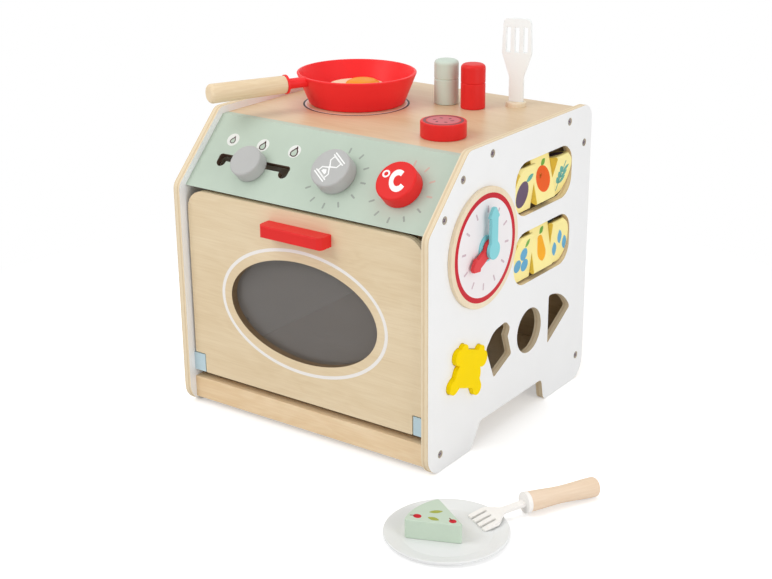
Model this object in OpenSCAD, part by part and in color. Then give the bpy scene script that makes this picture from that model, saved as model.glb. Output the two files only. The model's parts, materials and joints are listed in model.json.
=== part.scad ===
// Toy oven: a play kitchen cabinet of plywood boards with an opening door, turning knobs,
// a clock, two windows of turning picture blocks, sorting holes and loose cooking toys.
// Millimetres. The origin is the floor point under the middle of the cabinet.
// The door faces -Y and the clock side faces +X.

/* [Cabinet] */
// Width over both side boards
cabinet_w = 300; // [292:1:330]
// Depth of the side boards
cabinet_d = 294; // [290:1:320]
// Height at which the sloped front edge starts
slope_foot_h = 233; // [228:1:245]
// How far the sloped edge runs back
slope_run = 64.5; // [60:0.5:70]
// How far the sloped edge rises
slope_rise = 65.5; // [61:0.5:71]
// Thickness of a side board
side_t = 7.5; // [6.5:0.5:10]
// Rounding where the slope meets the front and the top
slope_corner_r = 12; // [4:1:16]
// Rounding of the top rear corner
top_rear_r = 16; // [4:1:20]
// Rounding of the front and rear bottom corners
base_corner_r = 20; // [8:1:24]
// Length of the front foot on the floor
front_foot_len = 74; // [60:1:85]
// Length of the rear foot on the floor
rear_foot_len = 82; // [60:1:90]
// Height of the recess between the feet
recess_h = 25; // [15:1:30]
// How far the inner side of a front foot leans
front_foot_lean = 16; // [8:1:20]
// How far the inner side of a rear foot leans
rear_foot_lean = 5; // [2:1:12]
// Rounding of a foot's inner floor corner
foot_corner_r = 8; // [3:1:10]
// Rounding of the corners of the recess
recess_corner_r = 6; // [2:1:8]

/* [Panels] */
// Thickness of the top panel
top_t = 7.5; // [6:0.5:10]
// How far the side boards stand above the top panel
side_stand_up = 7; // [4:0.5:10]
// Thickness of the control panel
control_t = 6; // [5:0.5:8]
// How far the control panel lies behind the sloped edges
control_recess = 7; // [5:0.5:9]
// Gap between the door and the control panel above it
door_top_gap = 1; // [0.5:0.5:3]
// Thickness of the back panel
back_t = 6; // [4:0.5:8]
// How far the back panel lies in front of the rear edges
back_inset = 11.5; // [6:0.5:16]
// Height of the back panel's lower edge
back_bottom_h = 16; // [8:1:24]
// Thickness of the oven floor
floor_t = 7.5; // [6:0.5:10]
// How far the oven floor starts behind the front edges
floor_setback = 18; // [17:0.5:24]
// Height of the front rail above the floor
rail_clear_h = 6.6; // [4:0.2:10]
// Height of the front rail
rail_h = 22.6; // [18:0.2:26]
// Depth of the front rail
rail_d = 25; // [18:1:34]
// Depth of the rail that the door closes on
stop_rail_d = 14; // [10:1:16]
// How far the stop rail reaches down behind the door
stop_rail_lap = 17; // [10:1:24]
// Distance between the stop rail and each side board
stop_rail_end = 24; // [10:1:40]

/* [Screws] */
// Radius of a side board screw
screw_r = 1.9; // [1.2:0.1:2.4]
// Length of a side board screw
screw_len = 26; // [18:1:34]
// Radius of a screw head
screw_head_r = 3.9; // [3:0.1:5]
// Depth of the countersunk head
screw_head_depth = 2.4; // [1.5:0.1:3]
// How deep the head lies under the face
screw_sink = 0.5; // [0.2:0.1:1]
// Front screw into the top panel, from the front edges
top_screw_front = 104; // [90:1:130]
// Rear screw into the top panel, from the rear edges
top_screw_rear = 46; // [30:1:60]
// Lower screw into the control panel, along the slope
control_screw_low = 26; // [20:1:34]
// Upper screw into the control panel, along the slope
control_screw_high = 68; // [55:1:76]
// How far the back panel's upper screw lies under the top panel's face
back_screw_drop = 31.5; // [20:0.5:90]
// Height of the lower screw into the back panel
back_screw_low = 27; // [24:1:60]

/* [Door] */
// Thickness of the door
door_t = 7.5; // [6:0.5:9]
// How far the door lies behind the front edges
door_setback = 8; // [6:0.5:9]
// Gap between the door and each side board
door_side_gap = 2.5; // [1.5:0.5:4]
// How far the door's top lies under the foot of the slope
door_drop = 2; // [1:0.5:4]
// Rounding of the door's top corners
door_corner_r = 15; // [6:1:20]
// Width of the oval window
oval_w = 176; // [150:1:190]
// Height of the oval window
oval_h = 102; // [80:1:115]
// How far the window's middle lies under the door's top
oval_drop = 102.5; // [97:0.5:108]
// Thickness of the window pane
pane_t = 2.5; // [2:0.5:3]
// How far the pane overlaps the oval opening
pane_lap = 8; // [6:0.5:10]
// Radius of a pane screw
pane_screw_r = 1; // [0.8:0.1:1.3]
// Radius of a pane screw's head
pane_screw_head_r = 2.8; // [2:0.1:3.4]
// Height of a pane screw's head
pane_screw_head_h = 1.3; // [0.8:0.1:2]
// Depth of a pane screw in the door
pane_screw_depth = 5; // [3:0.5:5.5]
// Width of the handle
handle_w = 74; // [50:1:100]
// Height of the handle
handle_h = 12; // [9:0.5:16]
// How far the handle stands off the door
handle_d = 17; // [12:0.5:22]
// How far the handle's middle lies under the door's top
handle_drop = 22; // [18:0.5:26]
// Rounding of the handle's front corners
handle_corner_r = 6; // [2:0.5:8]
// Bevel along the handle's front edges
handle_bevel = 1.6; // [0.5:0.1:2.5]
// Distance between the two handle screws
handle_screw_span = 48; // [30:1:60]
// Depth of a handle screw in the handle
handle_screw_depth = 10; // [6:1:11]
// Width of a hinge block
hinge_block_w = 14.5; // [10:0.5:18]
// Height of a hinge block
hinge_block_h = 18.8; // [17:0.2:20]
// Gap between the door and a hinge block
hinge_gap = 1; // [0.5:0.5:2]
// Radius of a hinge pin
hinge_pin_r = 2; // [1.5:0.1:2.5]
// How deep a hinge pin reaches into the door
hinge_pin_depth = 12; // [8:1:18]

/* [Controls] */
// Distance along the slope from its foot to the slot
slot_s = 42.3; // [38:0.1:46]
// Middle of the slot, from the middle of the cabinet
slot_x = -76; // [-82:1:-70]
// Length of the slot
slot_len = 88; // [76:1:96]
// Width of the slot
slot_w = 7.5; // [7:0.5:9]
// Distance between the slot's notches
notch_pitch = 38.5; // [32:0.5:40]
// Radius of a notch
notch_r = 5.3; // [4:0.1:5.4]
// How far a notch drops under the slot
notch_drop = 4.7; // [2:0.1:5.2]
// Radius of the slider knob
slider_r = 16.5; // [13:0.5:18]
// Thickness of the slider knob
slider_t = 13.7; // [10:0.1:18]
// How far the knob hangs under its peg
slider_drop = 4.7; // [0:0.1:6]
// Radius of the slider's peg
slider_peg_r = 3.3; // [2.6:0.1:3.4]
// Radius of the washer behind the panel
slider_washer_r = 7.5; // [6:0.5:8]
// Thickness of the slider's washer
slider_washer_t = 2; // [1:0.5:3]
// Distance along the slope from its foot to the dial knobs
dial_s = 46.6; // [43:0.1:50]
// Position of the timer knob
timer_x = 22.2; // [16:0.2:26]
// Position of the temperature knob
temperature_x = 96.2; // [88:0.2:100]
// Radius of a dial knob
dial_knob_r = 20.2; // [16:0.1:22]
// Thickness of a dial knob
dial_knob_t = 15.2; // [12:0.1:18]
// Rounding of a knob's front edge
knob_edge_r = 2; // [1:0.5:4]
// Radius of a dial knob's spindle
spindle_r = 4; // [3:0.5:5]
// How deep a spindle sits in its knob
spindle_seat = 9; // [6:1:11]
// Radius of the spindle's head behind the panel
spindle_head_r = 8; // [6.5:0.5:8]
// Thickness of the spindle's head
spindle_head_t = 2.5; // [1.5:0.5:3]

/* [Clock] */
// Radius of the clock's wooden dial
clock_r = 57.7; // [45:0.1:57.8]
// Thickness of the clock's dial
clock_t = 4; // [3:0.5:6]
// Clock centre behind the front edges
clock_front = 88; // [84:1:88]
// How far the clock's centre lies under the top panel's face
clock_drop = 89.5; // [86:0.5:95]
// Radius of the clock's spindle
clock_spindle_r = 3; // [2:0.5:4]
// Radius of the clock spindle's inner head
clock_head_r = 7; // [5:0.5:9]
// Thickness of the clock spindle's inner head
clock_head_t = 2; // [1:0.5:3]
// Radius of the spacer under the hands
spacer_r = 12.7; // [9:0.1:15]
// Thickness of the spacer
spacer_t = 2; // [1:0.5:3]
// Thickness of a clock hand
hand_t = 3.8; // [2.5:0.1:5]
// Width of a hand's stem
hand_stem_w = 10.6; // [7:0.1:12]
// Width of a hand's arrow
hand_arrow_w = 15.4; // [12.5:0.1:18]
// Width of the flat tip of the arrow
hand_tip_w = 4; // [2:0.5:6]
// Radius of a hand's round end
hand_hub_r = 9; // [6:0.1:10]
// Length of a hand's arrow
hand_arrow_len = 9; // [6:0.5:12]
// Length of the minute hand from the spindle
minute_len = 41; // [34:1:48]
// Length of the hour hand from the spindle
hour_len = 32; // [24:1:33]
// Direction of the hour hand, in degrees after twelve
hour_angle = 245; // [0:5:355]
// Wood left over the spindle's end in the minute hand
hand_cover = 1.2; // [0.8:0.1:1.6]

/* [Picture blocks] */
// Width of a window
window_w = 109; // [100:1:112]
// Height of a window
window_h = 53.5; // [53:0.5:58]
// Rounding of a window's corners
window_corner_r = 20; // [12:1:24]
// Distance from the rear edges to the windows' middle
window_rear = 93.5; // [90:0.5:94]
// How far the upper window's middle lies under the top panel's face
upper_window_drop = 52.5; // [48:0.5:54]
// Distance between the windows' middles
window_pitch = 70.5; // [68:0.5:75]
// Side of a block's triangle
block_side = 50; // [46:0.5:50]
// Rounding of a block's long edges
block_edge_r = 2; // [1.5:0.5:4]
// How far a block's face lies behind the outer face
block_face_inset = 1.5; // [0.5:0.5:3]
// Gap between two blocks
block_gap = 0.6; // [0.5:0.1:1.5]
// Clearance of the end blocks in the round corners
block_corner_gap = 0.5; // [0.4:0.1:1]
// Radius of an axle
axle_r = 3; // [2:0.5:4]
// Running gap round a turning shaft
running_gap = 0.05; // [0.02:0.01:0.09]
// Thickness of an axle bearer
bearer_t = 12; // [8:1:12]
// How far a bearer reaches into the cabinet
bearer_w = 24.5; // [20:0.5:30]
// How far a bearer reaches past the axles
bearer_end = 18; // [10:1:20]

/* [Sorting holes] */
// Radius of the round hole
round_hole_r = 23.3; // [18:0.1:25]
// Round hole behind the front edges
round_hole_front = 179; // [176:1:183]
// Height of the round hole's centre
round_hole_h = 89; // [84:1:93]
// Length of the wedge hole's sides
wedge_r = 52; // [44:1:54]
// Wedge tip behind the front edges
wedge_front = 217; // [215:1:220]
// Height of the wedge's tip
wedge_h = 62; // [56:1:66]
// Angle of the wedge's lower side
wedge_low = 31; // [26:1:40]
// Angle of the wedge's upper side
wedge_high = 90; // [84:1:92]
// Width of the bread slice hole
slice_w = 35; // [30:1:37]
// Height of the slice's straight side
slice_side = 22; // [18:1:26]
// Height of the slice's crust
slice_crust = 16; // [12:1:18]
// How far the crust stands out beside the slice
slice_lobe = 9; // [8:0.5:10]
// Slice corner behind the front edges
slice_front = 113; // [111:1:115]
// Height of the slice's corner
slice_h = 62; // [58:1:64]
// Turn of the slice
slice_turn = 23.6; // [15:0.1:28]
// Biscuit bear centre behind the front edges
bear_front = 62; // [57:1:63]
// Height of the bear's centre
bear_h = 88; // [84:1:92]
// Turn of the bear
bear_turn = -20; // [-24:1:0]
// Radius of the head's ends
head_r = 8; // [7:0.5:9]
// Head's ends beside the bear's middle
head_x = 20.5; // [18:0.5:22]
// Head above the bear's middle
head_up = 12.5; // [11:0.5:14]
// Radius of an ear
ear_r = 5.5; // [4.5:0.5:6.5]
// Ear beside the bear's middle
ear_x = 15; // [13:0.5:17]
// Ear above the bear's middle
ear_up = 20; // [18:0.5:21]
// Radius of the belly's sides
belly_r = 12; // [11:0.5:13]
// Belly's sides beside the bear's middle
belly_x = 10; // [8:0.5:11]
// Belly under the bear's middle
belly_down = 4; // [3:0.5:5]
// Radius of a foot
bear_foot_r = 7; // [6:0.5:8]
// Foot beside the bear's middle
bear_foot_x = 21; // [18:0.5:22]
// Foot under the bear's middle
bear_foot_down = 16; // [14:0.5:17]
// Thickness of the bear block
bear_t = 18; // [12:1:24]
// How far the bear stands proud of the side
bear_proud = 4.5; // [2:0.5:7]
// Gap between the bear and its hole
bear_gap = 0.4; // [0.3:0.1:0.8]

/* [Pan and egg] */
// Pan centre left of the cabinet's middle
pan_left = 62.8; // [60:0.2:66]
// Pan centre behind the front edges
pan_front = 183; // [176:1:190]
// Radius of the pan's base
pan_base_r = 48.6; // [44:0.2:52]
// Radius of the pan's rim
pan_rim_r = 61.5; // [56:0.5:64]
// Height of the pan
pan_h = 32; // [26:1:38]
// Wall of the pan
pan_wall = 3; // [2:0.5:4]
// Direction of the pan's handle
pan_turn = -113.5; // [-125:0.5:-100]
// Height of the handle's axis in the pan
pan_handle_h = 27.5; // [24:0.5:30]
// Radius of the pan's neck
pan_neck_r = 5.2; // [4:0.2:7]
// Distance from the pan's centre to the handle's flange
pan_flange_dist = 80; // [74:1:88]
// Radius of the flange
pan_flange_r = 9.6; // [9:0.2:12]
// Thickness of the flange
pan_flange_t = 2.2; // [1.8:0.2:5]
// Radius of the wooden handle at the flange
pan_grip_r = 8.8; // [7:0.2:9]
// Radius of the wooden handle at its end
pan_grip_end_r = 9.6; // [8:0.2:11]
// Length of the wooden handle
pan_grip_len = 82; // [60:1:100]
// Radius of the tang inside the handle
pan_tang_r = 3.5; // [2.5:0.5:4]
// Length of the tang
pan_tang_len = 40; // [20:1:50]
// Radius of the egg white
egg_r = 30; // [24:1:31]
// Thickness of the egg white
egg_t = 12.5; // [8:0.5:14]
// Radius of the yolk
yolk_r = 18; // [14:0.5:20]
// Height of the yolk's dome
yolk_h = 6; // [4:0.5:8]
// Yolk right of the egg's middle
yolk_right = 6; // [0:0.5:7]
// Yolk behind the egg's middle
yolk_back = 3; // [0:0.5:5]
// Egg centre left of the pan's centre
egg_left = 9; // [4:0.5:9]
// Egg centre behind the pan's centre
egg_back = 11; // [5:0.5:11]

/* [Table toys] */
// Radius of a shaker
shaker_r = 12.5; // [10:0.1:14]
// Height of a shaker
shaker_h = 45; // [36:0.5:52]
// Rounding of a shaker's top
shaker_top_r = 4; // [3:0.5:8]
// Height of the groove round a shaker
shaker_groove_h = 26; // [18:0.2:30]
// Depth of the groove
shaker_groove = 0.8; // [0.4:0.1:1.5]
// Position of the mint shaker
mint_x = 14.6; // [10:0.2:16]
// Mint shaker in front of the rear edges
mint_rear = 62.5; // [50:0.5:70]
// Position of the red shaker
red_x = 48; // [46:0.5:52]
// Red shaker in front of the rear edges
red_rear = 64.4; // [50:0.2:70]
// Radius of the red disc
disc_r = 22; // [18:0.5:25]
// Height of the red disc
disc_h = 15.4; // [10:0.2:18]
// Position of the red disc
disc_x = 86.8; // [84:0.2:90]
// Red disc behind the front edges
disc_front = 117.7; // [112:0.1:124]
// Radius of the spatula's wooden collar
collar_r = 10.3; // [9.8:0.1:13]
// Height of the collar
collar_h = 4.6; // [3:0.2:7]
// Position of the collar
collar_x = 79.4; // [74:0.2:86]
// Collar in front of the rear edges
collar_rear = 32; // [31.5:0.5:38]
// Height of the spatula above the top panel
spatula_h = 89; // [76:1:100]
// Width of the spatula's blade
blade_w = 31; // [26:0.5:36]
// Width of the spatula's stem
stem_w = 15; // [12:0.5:16]
// Thickness of the spatula
spatula_t = 4; // [3:0.5:5]
// Height at which the blade starts
blade_start_h = 36; // [28:1:40]
// Length of the blade's slots
blade_slot_len = 25; // [20:1:30]
// Distance from the blade's top to its slots
blade_slot_drop = 9; // [6:0.5:14]
// Rounding of the blade's top corners
blade_corner_r = 5; // [2:0.5:8]
// Width of the blade's slots
blade_slot_w = 4.4; // [3:0.2:5]
// Turn of the spatula
spatula_turn = 17; // [0:1:40]
// Gap round the spatula in its collar
socket_gap = 0.3; // [0.3:0.05:0.6]

/* [Plate set] */
// Plate centre right of the cabinet's middle
plate_x = 219.4; // [218:0.2:240]
// Plate centre in front of the front edges
plate_ahead = 73.3; // [60:0.1:90]
// Radius of the plate
plate_r = 55; // [52:0.5:62]
// Radius of the plate's flat base
plate_base_r = 41; // [40:0.5:44]
// Height of the plate's rim
plate_h = 6; // [5:0.5:6]
// Thickness of the plate
plate_t = 2.5; // [2:0.5:3]
// Radius of the cake slice
cake_r = 52; // [44:1:53]
// Angle of the cake slice
cake_angle = 54; // [40:1:60]
// Height of the cake slice
cake_h = 18; // [12:1:24]
// Direction in which the slice opens
cake_turn = 175; // [166:1:180]
// Cake tip right of the plate's centre
cake_tip_x = 23; // [21:0.5:26]
// Cake tip in front of the plate's centre
cake_tip_y = 8.5; // [6:0.5:10]
// Direction of the fork's handle
fork_turn = 61.5; // [57:0.5:68]
// Fork tips right of the plate's centre
fork_tip_x = 13.5; // [11:0.5:17]
// Fork tips behind the plate's centre
fork_tip_y = 26; // [25:0.5:31]
// Width over the fork's tines
tines_w = 30; // [24:1:32]
// Length of the tines
tines_len = 15; // [10:1:18]
// Gap between two tines
tine_gap = 3; // [2:0.5:4]
// How far the tines rise to their root
tine_rise = 2.6; // [2.5:0.1:3.5]
// Neck above the plate's rim
neck_lift = 1.2; // [0.8:0.1:2]
// Distance from the tips to the collar
fork_head_len = 48; // [46:1:56]
// Thickness of the fork's head
fork_t = 3; // [2:0.5:4]
// Width of the fork's neck
fork_neck_w = 8; // [6:0.5:10]
// Radius of the fork's collar
fork_collar_r = 9.6; // [9.5:0.1:12]
// Thickness of the fork's collar
fork_collar_t = 4; // [3:0.5:6]
// Radius of the fork's handle at its ends
fork_grip_r = 9.2; // [8.6:0.1:9.4]
// Radius of the handle's waist
fork_waist_r = 7.8; // [6.5:0.1:8.5]
// Length of the fork's handle
fork_grip_len = 72; // [60:1:90]
// Radius of the fork's tang
fork_tang_r = 3; // [2:0.5:4]
// Length of the fork's tang
fork_tang_len = 25; // [12:1:40]

/* [Hidden] */
$fn = 48;
// A cut runs this far past the face that it opens
past = 1;
// Play between pieces that rest on each other and move
rest_gap = 0.3;
front_y = -cabinet_d / 2;
back_y = cabinet_d / 2;
outer_x = cabinet_w / 2;
inner_x = outer_x - side_t;
cabinet_h = slope_foot_h + slope_rise;
deck_h = cabinet_h - side_stand_up;
slope_a = atan2(slope_rise, slope_run);
rail_top_h = rail_clear_h + rail_h;
floor_top_h = rail_top_h + floor_t;
door_y = front_y + door_setback;
door_back_y = door_y + door_t;
door_half = inner_x - door_side_gap;
door_top_h = slope_foot_h - door_drop;
oval_centre_h = door_top_h - oval_drop;
handle_centre_h = door_top_h - handle_drop;
pivot_y = door_y + door_t / 2;
pivot_h = floor_top_h + hinge_block_h / 2;
block_sweep = norm([door_t / 2, hinge_block_h / 2]);
notch_top_h = pivot_h + block_sweep + hinge_gap / 2;
notch_x = inner_x - hinge_block_w - hinge_gap;
control_bottom_h = door_top_h + door_top_gap;
back_panel_y = back_y - back_inset - back_t;
clock_y = front_y + clock_front;
clock_h = deck_h - clock_drop;
dial_face_x = outer_x + clock_t;
spacer_face_x = dial_face_x + spacer_t;
hour_x = spacer_face_x + rest_gap;
minute_x = hour_x + hand_t + rest_gap;
minute_face_x = minute_x + hand_t;
window_y = back_y - window_rear;
upper_window_h = deck_h - upper_window_drop;
lower_window_h = upper_window_h - window_pitch;
block_in_r = block_side / (2 * sqrt(3));
block_out_r = block_side / sqrt(3) - block_edge_r;
axle_x = outer_x - block_face_inset - block_in_r;
block_len = (window_w - 4 * block_gap) / 3;
bearer_front_y = window_y - window_w / 2 - block_gap - bearer_t;
bearer_rear_y = window_y + window_w / 2 + block_gap;
pan_y = front_y + pan_front;
egg_floor_h = deck_h + pan_wall;
plate_y = front_y - plate_ahead;
plate_floor_h = plate_t;
// Height of the fork's axis at its collar, and the handle's fall to the floor
fork_collar_h = fork_collar_r + 2;
fork_fall = asin((fork_collar_h - fork_grip_r - rest_gap) / fork_grip_len);
fork_neck_end = fork_head_len + fork_collar_t / 2;
corner_steps = 6;

// Outlines with rounded corners: each point is [x, y, radius]
function unit(v) = v / norm(v);
function xy(p) = [p[0], p[1]];
function corner_arc(a, b, c, r) =
    let (
        u = unit(a - b),
        v = unit(c - b),
        half = acos(u * v) / 2,
        centre = b + unit(u + v) * r / sin(half),
        first = b + u * r / tan(half) - centre,
        last = b + v * r / tan(half) - centre,
        start = atan2(first[1], first[0]),
        turn = (atan2(last[1], last[0]) - start + 540) % 360 - 180
    )
    [for (i = [0:corner_steps]) centre + r * [cos(start + turn * i / corner_steps),
                                              sin(start + turn * i / corner_steps)]];
function rounded(points) =
    let (n = len(points))
    [for (i = [0:n - 1])
        each points[i][2] > 0
            ? corner_arc(xy(points[(i + n - 1) % n]), xy(points[i]), xy(points[(i + 1) % n]), points[i][2])
            : [xy(points[i])]];
function ellipse_points(a, b) = [for (t = [0:5:355]) [a * cos(t), b * sin(t)]];
function arc_points(r, from, to, steps) =
    [for (i = [0:steps]) r * [cos(from + (to - from) * i / steps), sin(from + (to - from) * i / steps)]];

// The sloped front: s runs up the slope, n stands out of it
function slope_point(s, n) = [front_y + s * cos(slope_a) - n * sin(slope_a),
                              slope_foot_h + s * sin(slope_a) + n * cos(slope_a)];
function slope_y(n, h) = front_y + (h - slope_foot_h - n * cos(slope_a)) / tan(slope_a) - n * sin(slope_a);

module on_slope(x, s, n) {
    p = slope_point(s, n);
    translate([x, p[0], p[1]]) rotate([slope_a, 0, 0]) children();
}

// Extrusions of an outline along one axis: [y, z] along X and [x, z] along Y
module along_x(x0, x1) {
    translate([x0, 0, 0]) rotate([90, 0, 90]) linear_extrude(x1 - x0) children();
}
module along_y(y0, y1) {
    translate([0, y1, 0]) rotate([90, 0, 0]) linear_extrude(y1 - y0) children();
}
module rod_x(r, x0, x1) {
    translate([x0, 0, 0]) rotate([0, 90, 0]) cylinder(r = r, h = x1 - x0);
}
module rod_y(r, y0, y1) {
    translate([0, y0, 0]) rotate([-90, 0, 0]) cylinder(r = r, h = y1 - y0);
}
module box(x0, x1, y0, y1, z0, z1) {
    translate([x0, y0, z0]) cube([x1 - x0, y1 - y0, z1 - z0]);
}

// Side boards
module side_outline() {
    polygon(rounded([
        [front_y, 0, base_corner_r],
        [front_y + front_foot_len, 0, foot_corner_r],
        [front_y + front_foot_len + front_foot_lean, recess_h, recess_corner_r],
        [back_y - rear_foot_len - rear_foot_lean, recess_h, recess_corner_r],
        [back_y - rear_foot_len, 0, foot_corner_r],
        [back_y, 0, base_corner_r],
        [back_y, cabinet_h, top_rear_r],
        [front_y + slope_run, cabinet_h, slope_corner_r],
        [front_y, slope_foot_h, slope_corner_r]
    ]));
}

function screw_spots() = [
    [front_y + top_screw_front, deck_h - top_t / 2],
    [back_y - top_screw_rear, deck_h - top_t / 2],
    slope_point(control_screw_low, -control_recess - control_t / 2),
    slope_point(control_screw_high, -control_recess - control_t / 2),
    [back_panel_y + back_t / 2, deck_h - back_screw_drop],
    [back_panel_y + back_t / 2, back_screw_low],
    [door_y + rail_d / 2, rail_clear_h + rail_h / 2]
];

// A countersunk screw along +Z with its head's face at 0; reach carries the hole past the face
module countersunk(len, reach) {
    rotate_extrude() polygon(concat(
        [[0, -len], [screw_r, -len], [screw_r, -screw_head_depth], [screw_head_r, 0]],
        reach > 0 ? [[screw_head_r, reach]] : [],
        [[0, reach]]
    ));
}
module side_screw(reach) {
    translate([outer_x - screw_sink, 0, 0]) rotate([0, 90, 0]) countersunk(screw_len - screw_sink, reach);
}
module right_side_screws(reach) {
    for (spot = screw_spots()) translate([0, spot[0], spot[1]]) side_screw(reach);
}
module all_side_screws(reach) {
    right_side_screws(reach);
    mirror([1, 0, 0]) right_side_screws(reach);
}

module left_side_panel() {
    color([0.93, 0.93, 0.93]) difference() {
        along_x(-outer_x, -inner_x) side_outline();
        mirror([1, 0, 0]) right_side_screws(past);
    }
}

module window_outline() {
    w = window_w / 2;
    h = window_h / 2;
    polygon(rounded([
        [-w, -h, window_corner_r], [w, -h, window_corner_r],
        [w, h, window_corner_r], [-w, h, window_corner_r]
    ]));
}
module wedge_outline() {
    ends = arc_points(wedge_r, wedge_low, wedge_high, 8);
    polygon(rounded([for (i = [-1:len(ends) - 1])
        i < 0 ? [0, 0, 1] : [ends[i][0], ends[i][1], i == 0 || i == len(ends) - 1 ? 3 : 0]]));
}
module slice_outline() {
    top = slice_side + slice_crust;
    rotate(slice_turn) polygon(rounded([
        [0, 0, 2],
        [slice_w, 0, 2],
        [slice_w + 1.5, slice_side, 1.5],
        [slice_w + slice_lobe, slice_side + slice_crust / 3, 5],
        [slice_w + slice_lobe / 2, top + 1, 8],
        [slice_w / 2, top + 7, 22],
        [0, top - 1, 5]
    ]));
}

// A bear: a broad head with two small ears over a plump body with two feet
module bear_outline(grow) {
    rotate(bear_turn) {
        hull() for (side = [-1, 1]) translate([side * head_x, head_up]) circle(r = head_r + grow);
        hull() for (side = [-1, 1]) translate([side * belly_x, -belly_down]) circle(r = belly_r + grow);
        translate([-belly_x, -belly_down]) square([2 * belly_x, belly_down + head_up]);
        for (side = [-1, 1]) {
            translate([side * ear_x, ear_up]) circle(r = ear_r + grow);
            hull() {
                translate([side * belly_x, -belly_down]) circle(r = bear_foot_r + grow);
                translate([side * bear_foot_x, -bear_foot_down]) circle(r = bear_foot_r + grow);
            }
        }
    }
}

module right_side_panel() {
    color([0.93, 0.93, 0.93]) difference() {
        along_x(inner_x, outer_x) side_outline();
        right_side_screws(past);
        translate([0, clock_y, clock_h]) rod_x(clock_spindle_r, inner_x - past, outer_x + past);
        for (h = [upper_window_h, lower_window_h])
            along_x(inner_x - past, outer_x + past) translate([window_y, h]) window_outline();
        translate([0, front_y + round_hole_front, round_hole_h])
            rod_x(round_hole_r, inner_x - past, outer_x + past);
        along_x(inner_x - past, outer_x + past) translate([front_y + wedge_front, wedge_h]) wedge_outline();
        along_x(inner_x - past, outer_x + past) translate([front_y + slice_front, slice_h]) slice_outline();
        along_x(inner_x - past, outer_x + past)
            translate([front_y + bear_front, bear_h]) bear_outline(bear_gap);
    }
}

module panel_screws() {
    color([0.6, 0.58, 0.55]) all_side_screws(0);
}

// Panels between the side boards
module spatula_socket(h0, h1, gap) {
    translate([collar_x, back_y - collar_rear, h0]) rotate(spatula_turn)
        box(-stem_w / 2 - gap, stem_w / 2 + gap, -spatula_t / 2 - gap, spatula_t / 2 + gap, 0, h1 - h0);
}
module top_panel() {
    under = deck_h - top_t;
    behind = -control_recess - control_t;
    color([0.87, 0.78, 0.65]) difference() {
        along_x(-inner_x, inner_x) polygon([
            [slope_y(behind, under), under],
            [back_y, under],
            [back_y, deck_h],
            [slope_y(behind, deck_h), deck_h]
        ]);
        all_side_screws(0);
        spatula_socket(under - past, deck_h + past, socket_gap);
    }
}

module slot_outline() {
    translate([slot_x, slot_s]) {
        square([slot_len - slot_w, slot_w], center = true);
        for (side = [-1, 1]) translate([side * (slot_len - slot_w) / 2, 0]) circle(d = slot_w);
        for (i = [-1:1]) translate([i * notch_pitch, -notch_drop]) {
            circle(r = notch_r);
            translate([-notch_r, 0]) square([2 * notch_r, notch_drop]);
        }
    }
}
module control_panel() {
    face = -control_recess;
    behind = face - control_t;
    color([0.76, 0.83, 0.77]) difference() {
        along_x(-inner_x, inner_x) polygon([
            [slope_y(face, control_bottom_h), control_bottom_h],
            [slope_y(behind, control_bottom_h), control_bottom_h],
            [slope_y(behind, deck_h), deck_h],
            [slope_y(face, deck_h), deck_h]
        ]);
        all_side_screws(0);
        on_slope(0, 0, behind - past) linear_extrude(control_t + 2 * past) slot_outline();
        for (x = [timer_x, temperature_x])
            on_slope(x, dial_s, behind - past)
                cylinder(r = spindle_r + running_gap, h = control_t + 2 * past);
    }
}

module back_panel() {
    color([0.87, 0.78, 0.65]) difference() {
        box(-inner_x, inner_x, back_panel_y, back_panel_y + back_t, back_bottom_h, deck_h - top_t);
        all_side_screws(0);
    }
}

module oven_floor() {
    color([0.87, 0.78, 0.65])
        box(-inner_x, inner_x, front_y + floor_setback, back_panel_y, rail_top_h, floor_top_h);
}

module front_rail() {
    color([0.88, 0.76, 0.61]) difference() {
        box(-inner_x, inner_x, door_y, door_y + rail_d, rail_clear_h, rail_top_h);
        all_side_screws(0);
    }
}

// The rail that the door closes on, bevelled to sit against the control panel
module stop_rail() {
    behind = -control_recess - control_t;
    y0 = door_back_y + rest_gap;
    y1 = y0 + stop_rail_d;
    seat_h = slope_foot_h + behind * cos(slope_a) + (y1 - front_y + behind * sin(slope_a)) * tan(slope_a);
    end_x = inner_x - stop_rail_end;
    color([0.87, 0.78, 0.65]) along_x(-end_x, end_x) polygon([
        [y0, door_top_h - stop_rail_lap],
        [y1, door_top_h - stop_rail_lap],
        [y1, seat_h],
        [slope_y(behind, control_bottom_h), control_bottom_h],
        [y0, control_bottom_h]
    ]);
}

// Door and hinges
module hinge_bores(r, x0, x1) {
    for (side = [0, 1]) mirror([side, 0, 0])
        translate([0, pivot_y, pivot_h]) rod_x(r, x0, x1);
}
module hinge_block() {
    color([0.71, 0.8, 0.84]) difference() {
        box(inner_x - hinge_block_w, inner_x, door_y, door_back_y, floor_top_h, floor_top_h + hinge_block_h);
        hinge_bores(hinge_pin_r, inner_x - hinge_block_w - past, inner_x + past);
    }
}
module left_hinge_block() {
    mirror([1, 0, 0]) hinge_block();
}
module right_hinge_block() {
    hinge_block();
}
module hinge_pins() {
    color([0.6, 0.6, 0.6]) hinge_bores(hinge_pin_r, notch_x - hinge_pin_depth, inner_x);
}

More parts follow.
